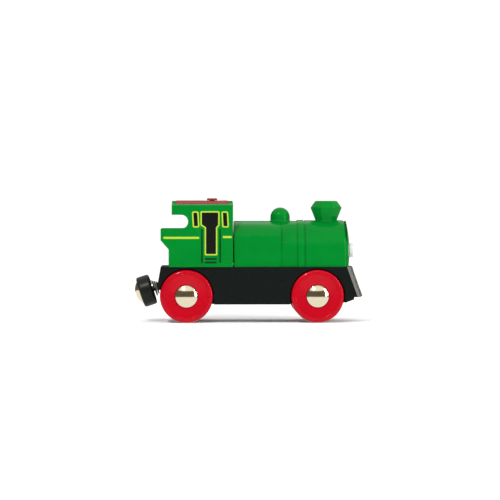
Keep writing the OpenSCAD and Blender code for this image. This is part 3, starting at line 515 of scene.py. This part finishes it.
def coil(radii: Point, length: float, turns: float, wire_r: float, steps: int = 30) -> bmesh.types.BMesh:
    """A conical coil of round wire that runs along -X from the origin.

    Args:
        radii: radius of the wire's middle line at the start and at the end, in millimetres.
        length: length along the axis between the two wire ends, in millimetres.
        turns: number of turns.
        wire_r: radius of the wire, in millimetres.
        steps: steps in a turn.

    Returns:
        The coil.
    """
    bm = bmesh.new()
    bmesh.ops.create_circle(bm, cap_ends=True, radius=wire_r * MM, segments=12)
    bmesh.ops.translate(bm, vec=(0, radii[0] * MM, 0), verts=bm.verts[:])
    count = round(turns * steps)
    bmesh.ops.spin(
        bm, geom=bm.verts[:] + bm.edges[:] + bm.faces[:], cent=(0, 0, 0), axis=(1, 0, 0),
        dvec=(-length * MM / count, 0, 0), angle=2 * math.pi * turns, steps=count, use_merge=False,
    )
    for vert in bm.verts:
        share = min(1.0, max(0.0, -vert.co.x / (length * MM)))
        radial = Vector((0, vert.co.y, vert.co.z))
        grow = (radii[1] - radii[0]) * share * MM
        vert.co += radial.normalized() * grow
    bmesh.ops.recalc_face_normals(bm, faces=bm.faces[:])
    return bm


def sharpen(bm: bmesh.types.BMesh, degrees: float = 38) -> None:
    """Shades every face smooth and keeps the corners steeper than an angle crisp.

    Args:
        bm: shape to shade.
        degrees: steepest corner that still shades smooth.
    """
    for face in bm.faces:
        face.smooth = True
    for edge in bm.edges:
        edge.smooth = len(edge.link_faces) == 2 and edge.calc_face_angle(0) < math.radians(degrees)


def make_object(name: str, bm: bmesh.types.BMesh, finishes: list[Finish]) -> bpy.types.Object:
    """Makes an object of a shape, with its finishes in order of material index.

    Args:
        name: name of the piece.
        bm: shape, which is freed.
        finishes: one finish for each material index.

    Returns:
        The new object, in the scene, at the origin.
    """
    sharpen(bm)
    mesh = bpy.data.meshes.new(name)
    bm.to_mesh(mesh)
    bm.free()
    for finish in finishes:
        mesh.materials.append(finish.material())
    piece = bpy.data.objects.new(name, mesh)
    bpy.context.scene.collection.objects.link(piece)
    return piece


class Registry:
    """Which body each CAD node is on and which slot it takes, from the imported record."""

    def __init__(self, record: dict) -> None:
        """Reads the record.

        Args:
            record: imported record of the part.
        """
        bodies = record["behaviour"]["bodies"]
        self.body = {node: body for body, nodes in bodies.items() for node in nodes}
        self.slot = {part["node"]: part["material_slot"] for part in record["subparts"]}

    def finish(self, node: str) -> Finish:
        """The finish that a node's slot asks for."""
        return Finish[self.slot[node].upper()]

    def stand_in(self, piece: bpy.types.Object, node: str) -> bpy.types.Object:
        """Puts a piece on a node's body and in its place.

        Args:
            piece: new piece.
            node: CAD node that it stands for.

        Returns:
            The piece.
        """
        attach(piece, self.body[node])
        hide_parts(node)
        log.info("%s stands for %s on %s", piece.name, node, self.body[node])
        return piece

    def add_on(self, piece: bpy.types.Object, node: str) -> bpy.types.Object:
        """Puts a piece that no CAD node holds on a node's body.

        Args:
            piece: new piece.
            node: CAD node whose body it rides on.

        Returns:
            The piece.
        """
        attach(piece, self.body[node])
        log.info("%s added on %s", piece.name, self.body[node])
        return piece


REGISTRY = Registry(frame["record"])


def stand_in(node: str, bm: bmesh.types.BMesh, finishes: list[Finish] | None = None) -> bpy.types.Object:
    """Makes a new piece from a shape and puts it in a CAD node's place.

    Args:
        node: CAD node that the piece stands for.
        bm: shape of the piece.
        finishes: finishes by material index, or None for the one that the node's slot asks for.

    Returns:
        The piece.
    """
    piece = make_object(f"{node}_finished", bm, finishes or [REGISTRY.finish(node)])
    return REGISTRY.stand_in(piece, node)


@dataclass(frozen=True)
class Rounding:
    """How a CAD shape's edges are rounded, as a moulding or a stamping is."""

    width: float
    segments: int = 3
    degrees: float = 30
    smoothing: int = 0

    def apply(self, node: str) -> bpy.types.Object:
        """Makes a rounded copy of a CAD node in the node's place.

        Args:
            node: CAD node to copy.

        Returns:
            The rounded piece.
        """
        bm = bmesh.new()
        bm.from_mesh(frame["nodes"][node].data)
        bmesh.ops.remove_doubles(bm, verts=bm.verts[:], dist=2e-6)
        bmesh.ops.dissolve_degenerate(bm, edges=bm.edges[:], dist=2e-6)
        if not self.smoothing:
            bmesh.ops.dissolve_limit(bm, angle_limit=math.radians(0.6), verts=bm.verts[:], edges=bm.edges[:])
        for face in bm.faces:
            face.material_index = 0
        piece = stand_in(node, bm)
        if self.width > 0:
            self.bevel(piece)
        if self.smoothing:
            subdivision = piece.modifiers.new("smooth", "SUBSURF")
            subdivision.levels = self.smoothing
            subdivision.render_levels = self.smoothing
        return piece

    def bevel(self, piece: bpy.types.Object) -> None:
        """Adds the bevel that rounds a piece's edges."""
        bevel = piece.modifiers.new("rounding", "BEVEL")
        bevel.width = self.width * MM
        bevel.segments = self.segments
        bevel.limit_method = "ANGLE"
        bevel.angle_limit = math.radians(self.degrees)
        bevel.use_clamp_overlap = True
        bevel.harden_normals = True
        bevel.miter_outer = "MITER_ARC"


def centre(node: str) -> Vector:
    """Middle of a CAD node's box, in metres."""
    low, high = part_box(node)
    return (low + high) / 2


def span(node: str) -> Vector:
    """Size of a CAD node's box, in millimetres."""
    low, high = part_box(node)
    return (high - low) / MM


# Sub-assemblies -----------------------------------------------------------------


@dataclass
class WheelSet:
    """Two moulded wheels on a steel axle, with domed caps and, where driven, rubber tyres."""

    name: str
    driven: bool
    rim_round: float = 1.3
    heel_round: float = 0.6
    tread_rim: float = 2.0
    face_recess: float = 0.28
    cap_ring: float = 0.25
    cap_seat: float = 0.8
    back_recess: float = 0.9
    hub_r: float = 3.4
    tyre_t: float = 0.9
    tyre_w: float = 2.0
    tyre_nick: float = 0.12
    axle_chamfer: float = 0.25
    cap_edge: float = 0.22

    def build(self) -> None:
        """Builds the axle and both sides."""
        self.axle()
        for side in Side:
            self.wheel(side)
            self.cap(side)
            if self.driven:
                self.tyre(side)

    def node(self, kind: str, side: Side) -> str:
        """Name of one of the set's pieces on a side."""
        return f"{self.name}_{kind}_{side.name.lower()}"

    def foot(self, node: str, side: Side) -> Vector:
        """Middle of a node's inner face, in metres."""
        low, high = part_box(node)
        return Vector((centre(node).x, low.y if side is Side.LEFT else high.y, centre(node).z))

    def seat(self, side: Side) -> Vector:
        """Where a wheel's inner face meets the axle's centre line, in metres."""
        axle = centre(f"{self.name}_axle")
        return Vector((axle.x, self.foot(self.node("wheel", side), side).y, axle.z))

    def axle(self) -> None:
        """Builds the ground axle with its chamfered ends."""
        node = f"{self.name}_axle"
        radius = span(node).x / 2
        length = span(node).y
        cut = self.axle_chamfer
        profile = [(0, 0), (radius - cut, 0), (radius, cut)]
        profile += [(r, length - z) for r, z in reversed(profile)]
        origin = Vector((centre(node).x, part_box(node)[0].y, centre(node).z))
        stand_in(node, lathe(profile, origin, Vector((0, 1, 0)), 48))

    def wheel(self, side: Side) -> None:
        """Builds one wheel: rounded rim, recessed face, cap seat and hollow back."""
        node = self.node("wheel", side)
        radius = span(node).x / 2
        width = span(node).y
        bore = span(f"{self.name}_axle").x / 2
        cap_r = span(self.node("cap", side)).x / 2 + self.cap_ring
        face = width - self.face_recess
        inner = radius - self.tread_rim
        groove = []
        if self.driven:
            low, high = (width - self.tyre_w) / 2, (width + self.tyre_w) / 2
            floor_r = radius - self.tyre_t
            groove = [(radius, low, 0), (floor_r, low, 0), (floor_r, high, 0), (radius, high, 0)]
        corners = [
            (bore, 0, 0), (self.hub_r, 0, 0.15), (self.hub_r + 0.3, self.back_recess, 0.2),
            (inner - 0.4, self.back_recess, 0.3), (inner, 0, 0.2), (radius, 0, self.heel_round),
            *groove,
            (radius, width, self.rim_round), (inner, width, 0.16), (inner - 0.25, face, 0.16),
            (cap_r, face, 0.12), (cap_r, width - self.cap_seat, 0), (bore, width - self.cap_seat, 0),
        ]
        stand_in(node, lathe(soften(corners), self.seat(side), Vector((0, side.value, 0)), 128, closed=True))

    def cap(self, side: Side) -> None:
        """Builds one drawn cap: a dome with a rolled edge."""
        node = self.node("cap", side)
        radius = span(node).x / 2
        height = span(node).y
        bore = span(f"{self.name}_axle").x / 2
        edge_h = self.cap_seat + self.cap_edge
        profile = dome(radius - self.cap_edge, edge_h, height - edge_h, 20)
        edge = [(radius - self.cap_edge, edge_h, 0), (radius, edge_h, self.cap_edge * 0.9), (radius, 0, 0)]
        profile += soften(edge)[1:]
        profile += [(bore, 0), (bore, self.cap_seat), (0, self.cap_seat)]
        stand_in(node, lathe(profile, self.foot(node, side), Vector((0, side.value, 0)), 96))

    def tyre(self, side: Side) -> None:
        """Builds one rubber tyre with softened shoulders and two fine grooves."""
        node = f"tyre_{side.name.lower()}"
        radius = span(node).x / 2
        width = span(node).y
        inner = radius - self.tyre_t
        nick = self.tyre_nick
        corners = [(inner, 0, 0), (radius, 0, 0.15)]
        for share in (1 / 3, 2 / 3):
            middle = width * share
            corners += [(radius, middle - nick, 0), (radius - nick, middle, 0), (radius, middle + nick, 0)]
        corners += [(radius, width, 0.15), (inner, width, 0)]
        axis = Vector((0, side.value, 0))
        stand_in(node, lathe(soften(corners), self.foot(node, side), axis, 128, closed=True))


@dataclass
class Chassis:
    """Black underframe with its bottom plate, screws and silver plow."""

    frame_round: Rounding = Rounding(0.3)
    plate_round: Rounding = Rounding(0.06, 2)
    plow_round: Rounding = Rounding(0, 1)
    screw_round: Rounding = Rounding(0.08, 2)

    def build(self) -> None:
        """Builds the underframe's pieces."""
        self.frame_round.apply("chassis_frame")
        self.plate_round.apply("bottom_plate")
        self.plow_round.apply("plow")
        for node in ("plate_screws", "cab_screws", "hood_screws", "coupler_post"):
            self.screw_round.apply(node)


@dataclass
class CabPrints:
    """Door, windows and lines printed on both sides of the cab, painted shade along the recess beside the
    door, and the rivets beside them.

    Places along X are measured back from the cab's front wall and heights from the floor.
    """

    OUTLINED: ClassVar[list[Finish]] = [Finish.INK_BLACK, Finish.INK_YELLOW]

    door_wide: tuple[float, float] = (6.1, 14.7)
    door_narrow: tuple[float, float] = (7.1, 12.8)
    door_z: tuple[float, float, float, float] = (30.55, 42.9, 44.1, 50.45)
    border: float = 0.62
    rear_window: tuple[float, float] = (15.55, 18.55)
    front_window: tuple[float, float] = (2.25, 5.3)
    window_z: tuple[float, float] = (43.1, 50.35)
    slant: float = 0.4
    window_corner: float = 0.75
    door_corner: float = 0.5
    stripe_corner: float = 0.3
    step_corner: float = 0.2
    inner_corner: float = 0.2
    stripe_t: float = 0.95
    rear_stripe: tuple[float, float, float] = (15.25, 31.35, 38.45)
    front_stripe: tuple[float, float, float] = (0.6, 4.65, 38.8)
    step: tuple[float, float] = (7.45, 12.65)
    step_t: float = 0.8
    step_z: tuple[float, float] = (28.95, 27.35)
    rivet_x: float = 2.25
    rivet_z: tuple[float, ...] = (37.1, 34.9, 32.7, 30.0, 27.8)
    rivet_r: float = 0.42
    rivet_rise: float = 0.16
    rivet_sink: float = 0.05
    ink_t: float = 0.08
    layer_t: float = 0.02
    proud: float = 0.025
    # Painted shade: a thin dark green line along the moulded recess on each side of the door.
    jamb_x: tuple[float, float] = (5.75, 13.95)
    jamb_z: tuple[float, float] = (27.1, 42.4)
    jamb_t: float = 0.55
    front_x: float = field(default=0.0, init=False)
    wall_y: float = field(default=0.0, init=False)

    def build(self) -> None:
        """Builds the prints and rivets of both sides."""
        self.front_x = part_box("cab_shell")[1].x / MM
        self.wall_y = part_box("cab_shell")[1].y / MM
        for side in Side:
            self.door(side)
            self.windows(side)
            self.stripes(side)
            self.steps(side)
            self.rivets(side)

    def patch(
        self, name: str, outlines: list[list[Point]], side: Side, patch_finishes: list[Finish], corner: float
    ) -> None:
        """Lays patches of ink, and of painted shade, on a side wall.

        Args:
            name: name of the print.
            outlines: outlines as points behind the cab's front wall and above the floor.
            side: side of the cab.
            patch_finishes: finish of the middle, which is ink except for the painted shade beside the door,
                and, for patches with a border line, ink of the border.
            corner: radius of the corners.
        """
        bm = bmesh.new()
        layers = [(outline, corner, 0.0, len(patch_finishes) - 1) for outline in outlines]
        if len(patch_finishes) > 1:
            inner = [shrink(outline, self.border) for outline in outlines]
            layers += [(outline, self.inner_corner, self.layer_t, 0) for outline in inner]
        for outline, radius, rise, ink in layers:
            softened = soften([(x, z, radius) for x, z in outline], closed=True)
            verts = [bm.verts.new(((self.front_x - x) * MM, rise * MM, z * MM)) for x, z in softened]
            bm.faces.new(verts).material_index = ink
        bmesh.ops.triangulate(bm, faces=bm.faces[:], ngon_method="EAR_CLIP")
        self.thicken(bm)
        lift = Matrix.Translation((0, side.value * (self.wall_y + self.proud) * MM, 0))
        flip = Matrix.Scale(side.value, 4, (0, 1, 0))
        bmesh.ops.transform(bm, matrix=lift @ flip, verts=bm.verts[:])
        bmesh.ops.recalc_face_normals(bm, faces=bm.faces[:])
        piece = make_object(f"{name}_{side.name.lower()}", bm, patch_finishes)
        REGISTRY.add_on(piece, "cab_shell")

    def thicken(self, bm: bmesh.types.BMesh) -> None:
        """Gives flat patches the thickness of the ink, from Y = 0 inwards."""
        made = bmesh.ops.extrude_face_region(bm, geom=bm.faces[:], use_keep_orig=True)
        moved = [item for item in made["geom"] if isinstance(item, bmesh.types.BMVert)]
        bmesh.ops.translate(bm, vec=(0, -self.ink_t * MM, 0), verts=moved)

    def door(self, side: Side) -> None:
        """Prints the black door with its yellow outline."""
        x0, x1 = self.door_wide
        n0, n1 = self.door_narrow
        low, neck, shoulder, top = self.door_z
        outline = [(n0, low), (n0, neck), (x0, shoulder), (x0, top)]
        outline += [(x1, top), (x1, shoulder), (n1, neck), (n1, low)]
        self.patch("door_print", [outline], side, self.OUTLINED, self.door_corner)

    def windows(self, side: Side) -> None:
        """Prints the two small slanted windows."""
        outlines = []
        low, top = self.window_z
        for x0, x1 in (self.rear_window, self.front_window):
            outlines.append([(x0 - self.slant, low), (x0, top), (x1, top), (x1 - self.slant, low)])
        self.patch("window_print", outlines, side, self.OUTLINED, self.window_corner)

    def stripes(self, side: Side) -> None:
        """Prints the yellow lines on both sides of the door."""
        outlines = []
        for x0, x1, z in (self.rear_stripe, self.front_stripe):
            outlines.append(rectangle((x0, x1), (z - self.stripe_t / 2, z + self.stripe_t / 2)))
        self.patch("stripe_print", outlines, side, [Finish.INK_YELLOW], self.stripe_corner)

    def steps(self, side: Side) -> None:
        """Prints the two dark steps under the door and paints a thin line of shade along the moulded recess
        on each side of it.
        """
        outlines = [rectangle(self.step, (z - self.step_t / 2, z + self.step_t / 2)) for z in self.step_z]
        # painted shade along the moulded recess on each side of the door, in the steps' dark green
        outlines += [rectangle((x - self.jamb_t / 2, x + self.jamb_t / 2), self.jamb_z) for x in self.jamb_x]
        self.patch("step_print", outlines, side, [Finish.INK_DARK_GREEN], self.step_corner)

    def rivets(self, side: Side) -> None:
        """Builds the column of small moulded rivets ahead of the door."""
        bm = bmesh.new()
        for z in self.rivet_z:
            origin = Vector((self.front_x - self.rivet_x, side.value * (self.wall_y - self.rivet_sink), z))
            profile = dome(self.rivet_r, self.rivet_sink, self.rivet_rise, 5) + [(self.rivet_r, 0), (0, 0)]
            one = lathe(profile, origin * MM, Vector((0, side.value, 0)), 20)
            mesh = bpy.data.meshes.new("rivet")
            one.to_mesh(mesh)
            one.free()
            bm.from_mesh(mesh)
            bpy.data.meshes.remove(mesh)
        piece = make_object(f"rivets_{side.name.lower()}", bm, [Finish.SHELL_GREEN])
        REGISTRY.add_on(piece, "cab_shell")


@dataclass
class Cab:
    """Green cab with its red roof panel and the sliding switch in it."""

    shell_round: Rounding = Rounding(0.38)
    panel_round: Rounding = Rounding(0.25)
    button_round: Rounding = Rounding(0.18)
    inner_round: Rounding = Rounding(0.12, 2)
    prints: CabPrints = field(default_factory=CabPrints)

    def build(self) -> None:
        """Builds the cab's pieces."""
        self.shell_round.apply("cab_shell")
        self.panel_round.apply("roof_panel")
        self.button_round.apply("switch_button")
        self.inner_round.apply("switch_base")
        self.inner_round.apply("switch_blade")
        self.prints.build()


@dataclass
class Hood:
    """Green boiler hood with its dome, chimney and headlamp."""

    shell_round: Rounding = Rounding(0.38)
    dome_base: float = 0.55
    dome_overlap: float = 0.05
    stack_neck: float = 9.8
    stack_wide: float = 14.0
    stack_top: float = 9.6
    stack_foot: float = 0.6
    stack_cap: float = 3.1
    stack_bore: float = 3.2
    stack_bore_h: float = 4.6
    stack_bevel: float = 0.28
    stack_taper: float = 0.5
    seat_depth: float = 1.4
    sink: float = 1.2
    bezel_floor: float = 0.6
    bezel_head: float = 2.0
    lens_edge: float = 0.45

    def build(self) -> None:
        """Builds the hood's pieces."""
        self.shell_round.apply("boiler_hood")
        self.steam_dome()
        self.chimney()
        self.headlamp()

    def top_z(self) -> float:
        """Height of the boiler's top, in millimetres."""
        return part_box("steam_dome")[0].z / MM + self.seat_depth

    def steam_dome(self) -> None:
        """Builds the dome with a small flare where it meets the boiler."""
        radius = span("steam_dome").x / 2 - self.dome_base + self.dome_overlap
        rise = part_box("steam_dome")[1].z / MM - self.top_z()
        origin = Vector((centre("steam_dome").x, 0, self.top_z() * MM))
        profile = dome(radius, rise - radius, radius - 1e-4, 24)
        flare = [(radius, rise - radius, 0), (radius, 0.15, 0.5), (radius + self.dome_base, -0.1, 0)]
        profile += soften(flare)[1:]
        profile += [(radius + self.dome_base, -self.sink), (0, -self.sink)]
        stand_in("steam_dome", lathe(profile, origin, Vector((0, 0, 1)), 96))

    def ring(self, bm: bmesh.types.BMesh, width: float, z: float) -> list[bmesh.types.BMVert]:
        """Adds an eight-sided ring of edges.

        Args:
            bm: shape to add it to.
            width: width over flats, in millimetres.
            z: height, in millimetres.

        Returns:
            The ring's vertices.
        """
        radius = width / 2 / math.cos(math.pi / 8) * MM
        made = bmesh.ops.create_circle(bm, cap_ends=False, radius=radius, segments=8)
        turn = Matrix.Rotation(math.pi / 8, 4, "Z")
        bmesh.ops.transform(bm, matrix=Matrix.Translation((0, 0, z * MM)) @ turn, verts=made["verts"])
        return made["verts"]

    def chimney(self) -> None:
        """Builds the eight-sided diamond chimney with its bore."""
        bm = bmesh.new()
        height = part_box("chimney")[1].z / MM - self.top_z()
        levels = [
            (self.stack_neck, -self.sink), (self.stack_neck, self.stack_foot),
            (self.stack_wide, height - self.stack_cap), (self.stack_top, height),
            (2 * self.stack_bore, height),
            (2 * self.stack_bore - self.stack_taper, height - self.stack_bore_h),
        ]
        rings = [self.ring(bm, width, z) for width, z in levels]
        for low, high in zip(rings, rings[1:]):
            chosen = set(low) | set(high)
            edges = [edge for edge in bm.edges if set(edge.verts) <= chosen]
            bmesh.ops.bridge_loops(bm, edges=edges)
        bmesh.ops.holes_fill(bm, edges=[edge for edge in bm.edges if edge.is_boundary], sides=8)
        bmesh.ops.recalc_face_normals(bm, faces=bm.faces[:])
        sharp = [edge for edge in bm.edges if edge.calc_face_angle(0) > math.radians(20)]
        bmesh.ops.bevel(
            bm, geom=sharp, offset=self.stack_bevel * MM, offset_type="OFFSET", segments=3, profile=0.5,
            affect="EDGES", clamp_overlap=True, material=-1,
        )
        place = Matrix.Translation((centre("chimney").x, 0, self.top_z() * MM))
        bmesh.ops.transform(bm, matrix=place, verts=bm.verts[:])
        stand_in("chimney", bm)

    def headlamp(self) -> None:
        """Builds the white bezel and the domed lens in it."""
        radius = span("headlamp_bezel").z / 2
        origin = Vector((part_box("headlamp_bezel")[0].x, 0, centre("headlamp_bezel").z))
        length = span("headlamp_bezel").x
        back = length - self.bezel_head
        lens_r = span("headlamp_lens").z / 2
        corners = [
            (0, 0, 0), (radius - 1, 0, 0), (radius - 1, back, 0), (radius, back, 0.25),
            (radius, length, 0.45), (lens_r, length, 0.2), (lens_r, back + self.bezel_floor, 0),
            (0, back + self.bezel_floor, 0),
        ]
        axis = Vector((1, 0, 0))
        stand_in("headlamp_bezel", lathe(soften(corners), origin, axis, 64))
        start = Vector((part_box("headlamp_lens")[0].x, 0, centre("headlamp_lens").z))
        depth = span("headlamp_lens").x
        profile = dome(lens_r, depth * self.lens_edge, depth * (1 - self.lens_edge), 10)
        profile += [(lens_r, 0), (0, 0)]
        stand_in("headlamp_lens", lathe(profile, start, axis, 64))


@dataclass
class Drive:
    """Motor, worm and axle gear."""

    can_round: Rounding = Rounding(0.5)
    cap_round: Rounding = Rounding(0.2, 2)
    gear_round: Rounding = Rounding(0, 1)
    worm_round: Rounding = Rounding(0, 1)

    def build(self) -> None:
        """Builds the drive's pieces."""
        self.can_round.apply("motor_can")
        self.cap_round.apply("motor_endcap")
        self.gear_round.apply("axle_gear")
        self.worm_round.apply("worm")
        self.gear_round.apply("motor_shaft")


@dataclass
class Power:
    """Round cell, its spring and plates, and the three wires."""

    stud_len: float = 1.0
    stud_r: float = 2.7
    sleeve_t: float = 0.12
    crimp: float = 0.6
    plate_round: Rounding = Rounding(0.08, 2)
    wire_round: Rounding = Rounding(0, smoothing=2)

    def build(self) -> None:
        """Builds the power supply's pieces."""
        self.battery()
        self.plate_round.apply("battery_plates")
        for node in ("battery_spring", "wire_positive", "wire_negative", "wire_motor"):
            self.wire_round.apply(node)

    def battery(self) -> None:
        """Builds the cell: a sleeved can with a crimped edge and a stud."""
        start_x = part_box("battery")[0].x
        radius = span("battery").z / 2
        length = span("battery").x - self.stud_len
        can = radius - self.sleeve_t
        corners = [
            (0, 0, 0), (can - 0.4, 0, 0.3), (can, self.crimp, 0.1), (radius, self.crimp, 0.05),
            (radius, length - self.crimp, 0.05), (can, length - self.crimp, 0.1), (can - 0.3, length, 0.3),
            (self.stud_r + 0.6, length, 0), (self.stud_r, length + 0.2, 0.1),
            (self.stud_r, length + self.stud_len, 0.3), (0, length + self.stud_len, 0),
        ]
        origin = Vector((start_x, 0, centre("battery").z))
        bm = lathe(soften(corners), origin, Vector((1, 0, 0)), 96)
        ends = (start_x + self.crimp * MM, start_x + (length - self.crimp) * MM)
        for face in bm.faces:
            face.material_index = 0 if ends[0] < face.calc_center_median().x < ends[1] else 1
        stand_in("battery", bm, [Finish.CELL_WRAP, Finish.STEEL])


@dataclass
class Coupler:
    """Drooping magnet coupler on its sprung arm."""

    droop: float = 18.3
    holder_face: float = 1.82
    magnet_depth: float = 3.6
    cap_wall: float = 0.5
    cap_rise: float = 2.25
    cap_r: float = 5.3
    cap_roof: float = 0.2
    spring_start: float = 0.9
    spring_radii: tuple[float, float] = (2.3, 3.8)
    spring_turns: float = 2.5
    spring_wire: float = 0.36
    holder_t: float = 6.0
    holder_round: Rounding = Rounding(0.15, 2)
    arm_round: Rounding = Rounding(0.2, 2)
    pin_round: Rounding = Rounding(0.08, 2)

    def build(self) -> None:
        """Builds the coupler's pieces."""
        self.arm_round.apply("coupler_arm")
        self.holder_round.apply("magnet_holder")
        self.pin_round.apply("coupler_pin")
        self.pin_round.apply("magnet")
        self.cap()
        self.spring()

    def pivot(self) -> Vector:
        """Centre of the pitch pivot, in metres."""
        return centre("coupler_pin")

    def cap(self) -> None:
        """Builds the drawn cap over the magnet."""
        base = self.holder_face + self.holder_t - self.magnet_depth
        edge = self.holder_face + self.holder_t
        inner = self.cap_r - self.cap_wall
        roof = edge - self.cap_roof
        profile = dome(self.cap_r, edge, self.cap_rise, 24)
        profile += [(self.cap_r, base), (inner, base), (inner, roof), (0, roof)]
        tilt = math.radians(self.droop)
        axis = Vector((-math.cos(tilt), 0, -math.sin(tilt)))
        stand_in("magnet_cap", lathe(profile, self.pivot(), axis, 96))

    def spring(self) -> None:
        """Builds the conical spring that levels the coupler."""
        length = self.holder_face + self.spring_start - self.spring_wire
        bm = coil(self.spring_radii, length, self.spring_turns, self.spring_wire)
        tilt = Matrix.Rotation(math.radians(-self.droop), 4, "Y")
        start = Matrix.Translation((self.spring_start * MM, 0, 0))
        bmesh.ops.transform(bm, matrix=Matrix.Translation(self.pivot()) @ tilt @ start, verts=bm.verts[:])
        stand_in("coupler_spring", bm)


@dataclass
class Studio:
    """Pale floor, soft lights and the camera."""

    target: Corner = (0.27, -8.0, 32.8)
    azimuth: float = -1.5
    elevation: float = 1.2
    distance: float = 800.0
    view_width: float = 227.5
    sensor: float = 36.0
    floor_size: float = 2400.0
    key_power: float = 3.0
    fill_power: float = 2.4
    rim_power: float = 0.4
    sky: float = 1.05
    flag_r: float = 1400.0
    flag_z: Point = (-110.0, 860.0)

    def build(self) -> None:
        """Sets up the studio."""
        self.floor()
        self.flag()
        self.lights()
        self.world()
        self.camera()
        bpy.context.scene.view_settings.view_transform = "Standard"

    def floor(self) -> None:
        """Lays the pale floor."""
        bm = bmesh.new()
        bmesh.ops.create_grid(bm, x_segments=8, y_segments=8, size=self.floor_size / 2 * MM)
        floor = make_object("floor", bm, [Finish.PAPER])
        floor.visible_glossy = False

    def flag(self) -> None:
        """Stands a ring of dark cloth round the set, seen only in glossy reflections."""
        bm = bmesh.new()
        made = bmesh.ops.create_circle(bm, cap_ends=False, radius=self.flag_r * MM, segments=64)
        bmesh.ops.translate(bm, vec=(0, 0, self.flag_z[0] * MM), verts=made["verts"])
        raised = bmesh.ops.extrude_edge_only(bm, edges=bm.edges[:])
        moved = [item for item in raised["geom"] if isinstance(item, bmesh.types.BMVert)]
        bmesh.ops.translate(bm, vec=(0, 0, (self.flag_z[1] - self.flag_z[0]) * MM), verts=moved)
        flag = make_object("flag", bm, [Finish.CLOTH])
        flag.visible_camera = False
        flag.visible_diffuse = False
        flag.visible_shadow = False

    def lamp(self, name: str, place: Corner, size: Point, power: float) -> None:
        """Hangs one soft light that faces the engine.

        Args:
            name: name of the light.
            place: where it hangs, in millimetres.
            size: width and height of its face, in millimetres.
            power: power in watts.
        """
        data = bpy.data.lights.new(name, "AREA")
        data.shape = "RECTANGLE"
        data.size, data.size_y = size[0] * MM, size[1] * MM
        data.energy = power
        lamp = bpy.data.objects.new(name, data)
        lamp.location = Vector(place) * MM
        lamp.rotation_mode = "QUATERNION"
        aim = Vector((0, 0, 25 * MM)) - lamp.location
        lamp.rotation_quaternion = aim.to_track_quat("-Z", "Y")
        bpy.context.scene.collection.objects.link(lamp)

    def lights(self) -> None:
        """Hangs the key, fill and back lights."""
        self.lamp("key", (-260, -560, 620), (60, 60), self.key_power)
        self.lamp("fill", (640, -400, 260), (70, 560), self.fill_power)
        self.lamp("back", (100, 700, 600), (500, 500), self.rim_power)

    def world(self) -> None:
        """Lights the room evenly with a white sky."""
        world = bpy.data.worlds.new("room")
        world.use_nodes = True
        world.node_tree.nodes["Background"].inputs["Color"].default_value = (1, 1, 1, 1)
        world.node_tree.nodes["Background"].inputs["Strength"].default_value = self.sky
        bpy.context.scene.world = world

    def camera(self) -> None:
        """Sets the camera at its viewing angle."""
        data = bpy.data.cameras.new("camera")
        data.sensor_width = self.sensor
        data.lens = self.sensor * self.distance / self.view_width
        data.clip_start = 0.05
        data.clip_end = 20
        camera = bpy.data.objects.new("camera", data)
        turn, lift = math.radians(self.azimuth), math.radians(self.elevation)
        back = Vector((math.sin(turn) * math.cos(lift), -math.cos(turn) * math.cos(lift), math.sin(lift)))
        camera.location = (Vector(self.target) + back * self.distance) * MM
        camera.rotation_mode = "QUATERNION"
        camera.rotation_quaternion = (-back).to_track_quat("-Z", "Y")
        bpy.context.scene.collection.objects.link(camera)
        bpy.context.scene.camera = camera


def main() -> None:
    """Builds the studio and every sub-assembly in order."""
    logging.basicConfig(level=logging.INFO, format="%(name)s: %(message)s")
    Studio().build()
    assemblies = [
        Chassis(),
        Cab(),
        Hood(),
        Drive(),
        Power(),
        WheelSet("rear", driven=True),
        WheelSet("front", driven=False),
        Coupler(),
    ]
    for assembly in assemblies:
        assembly.build()
        log.info("%s built", type(assembly).__name__)


if __name__ == "__main__":
    main()
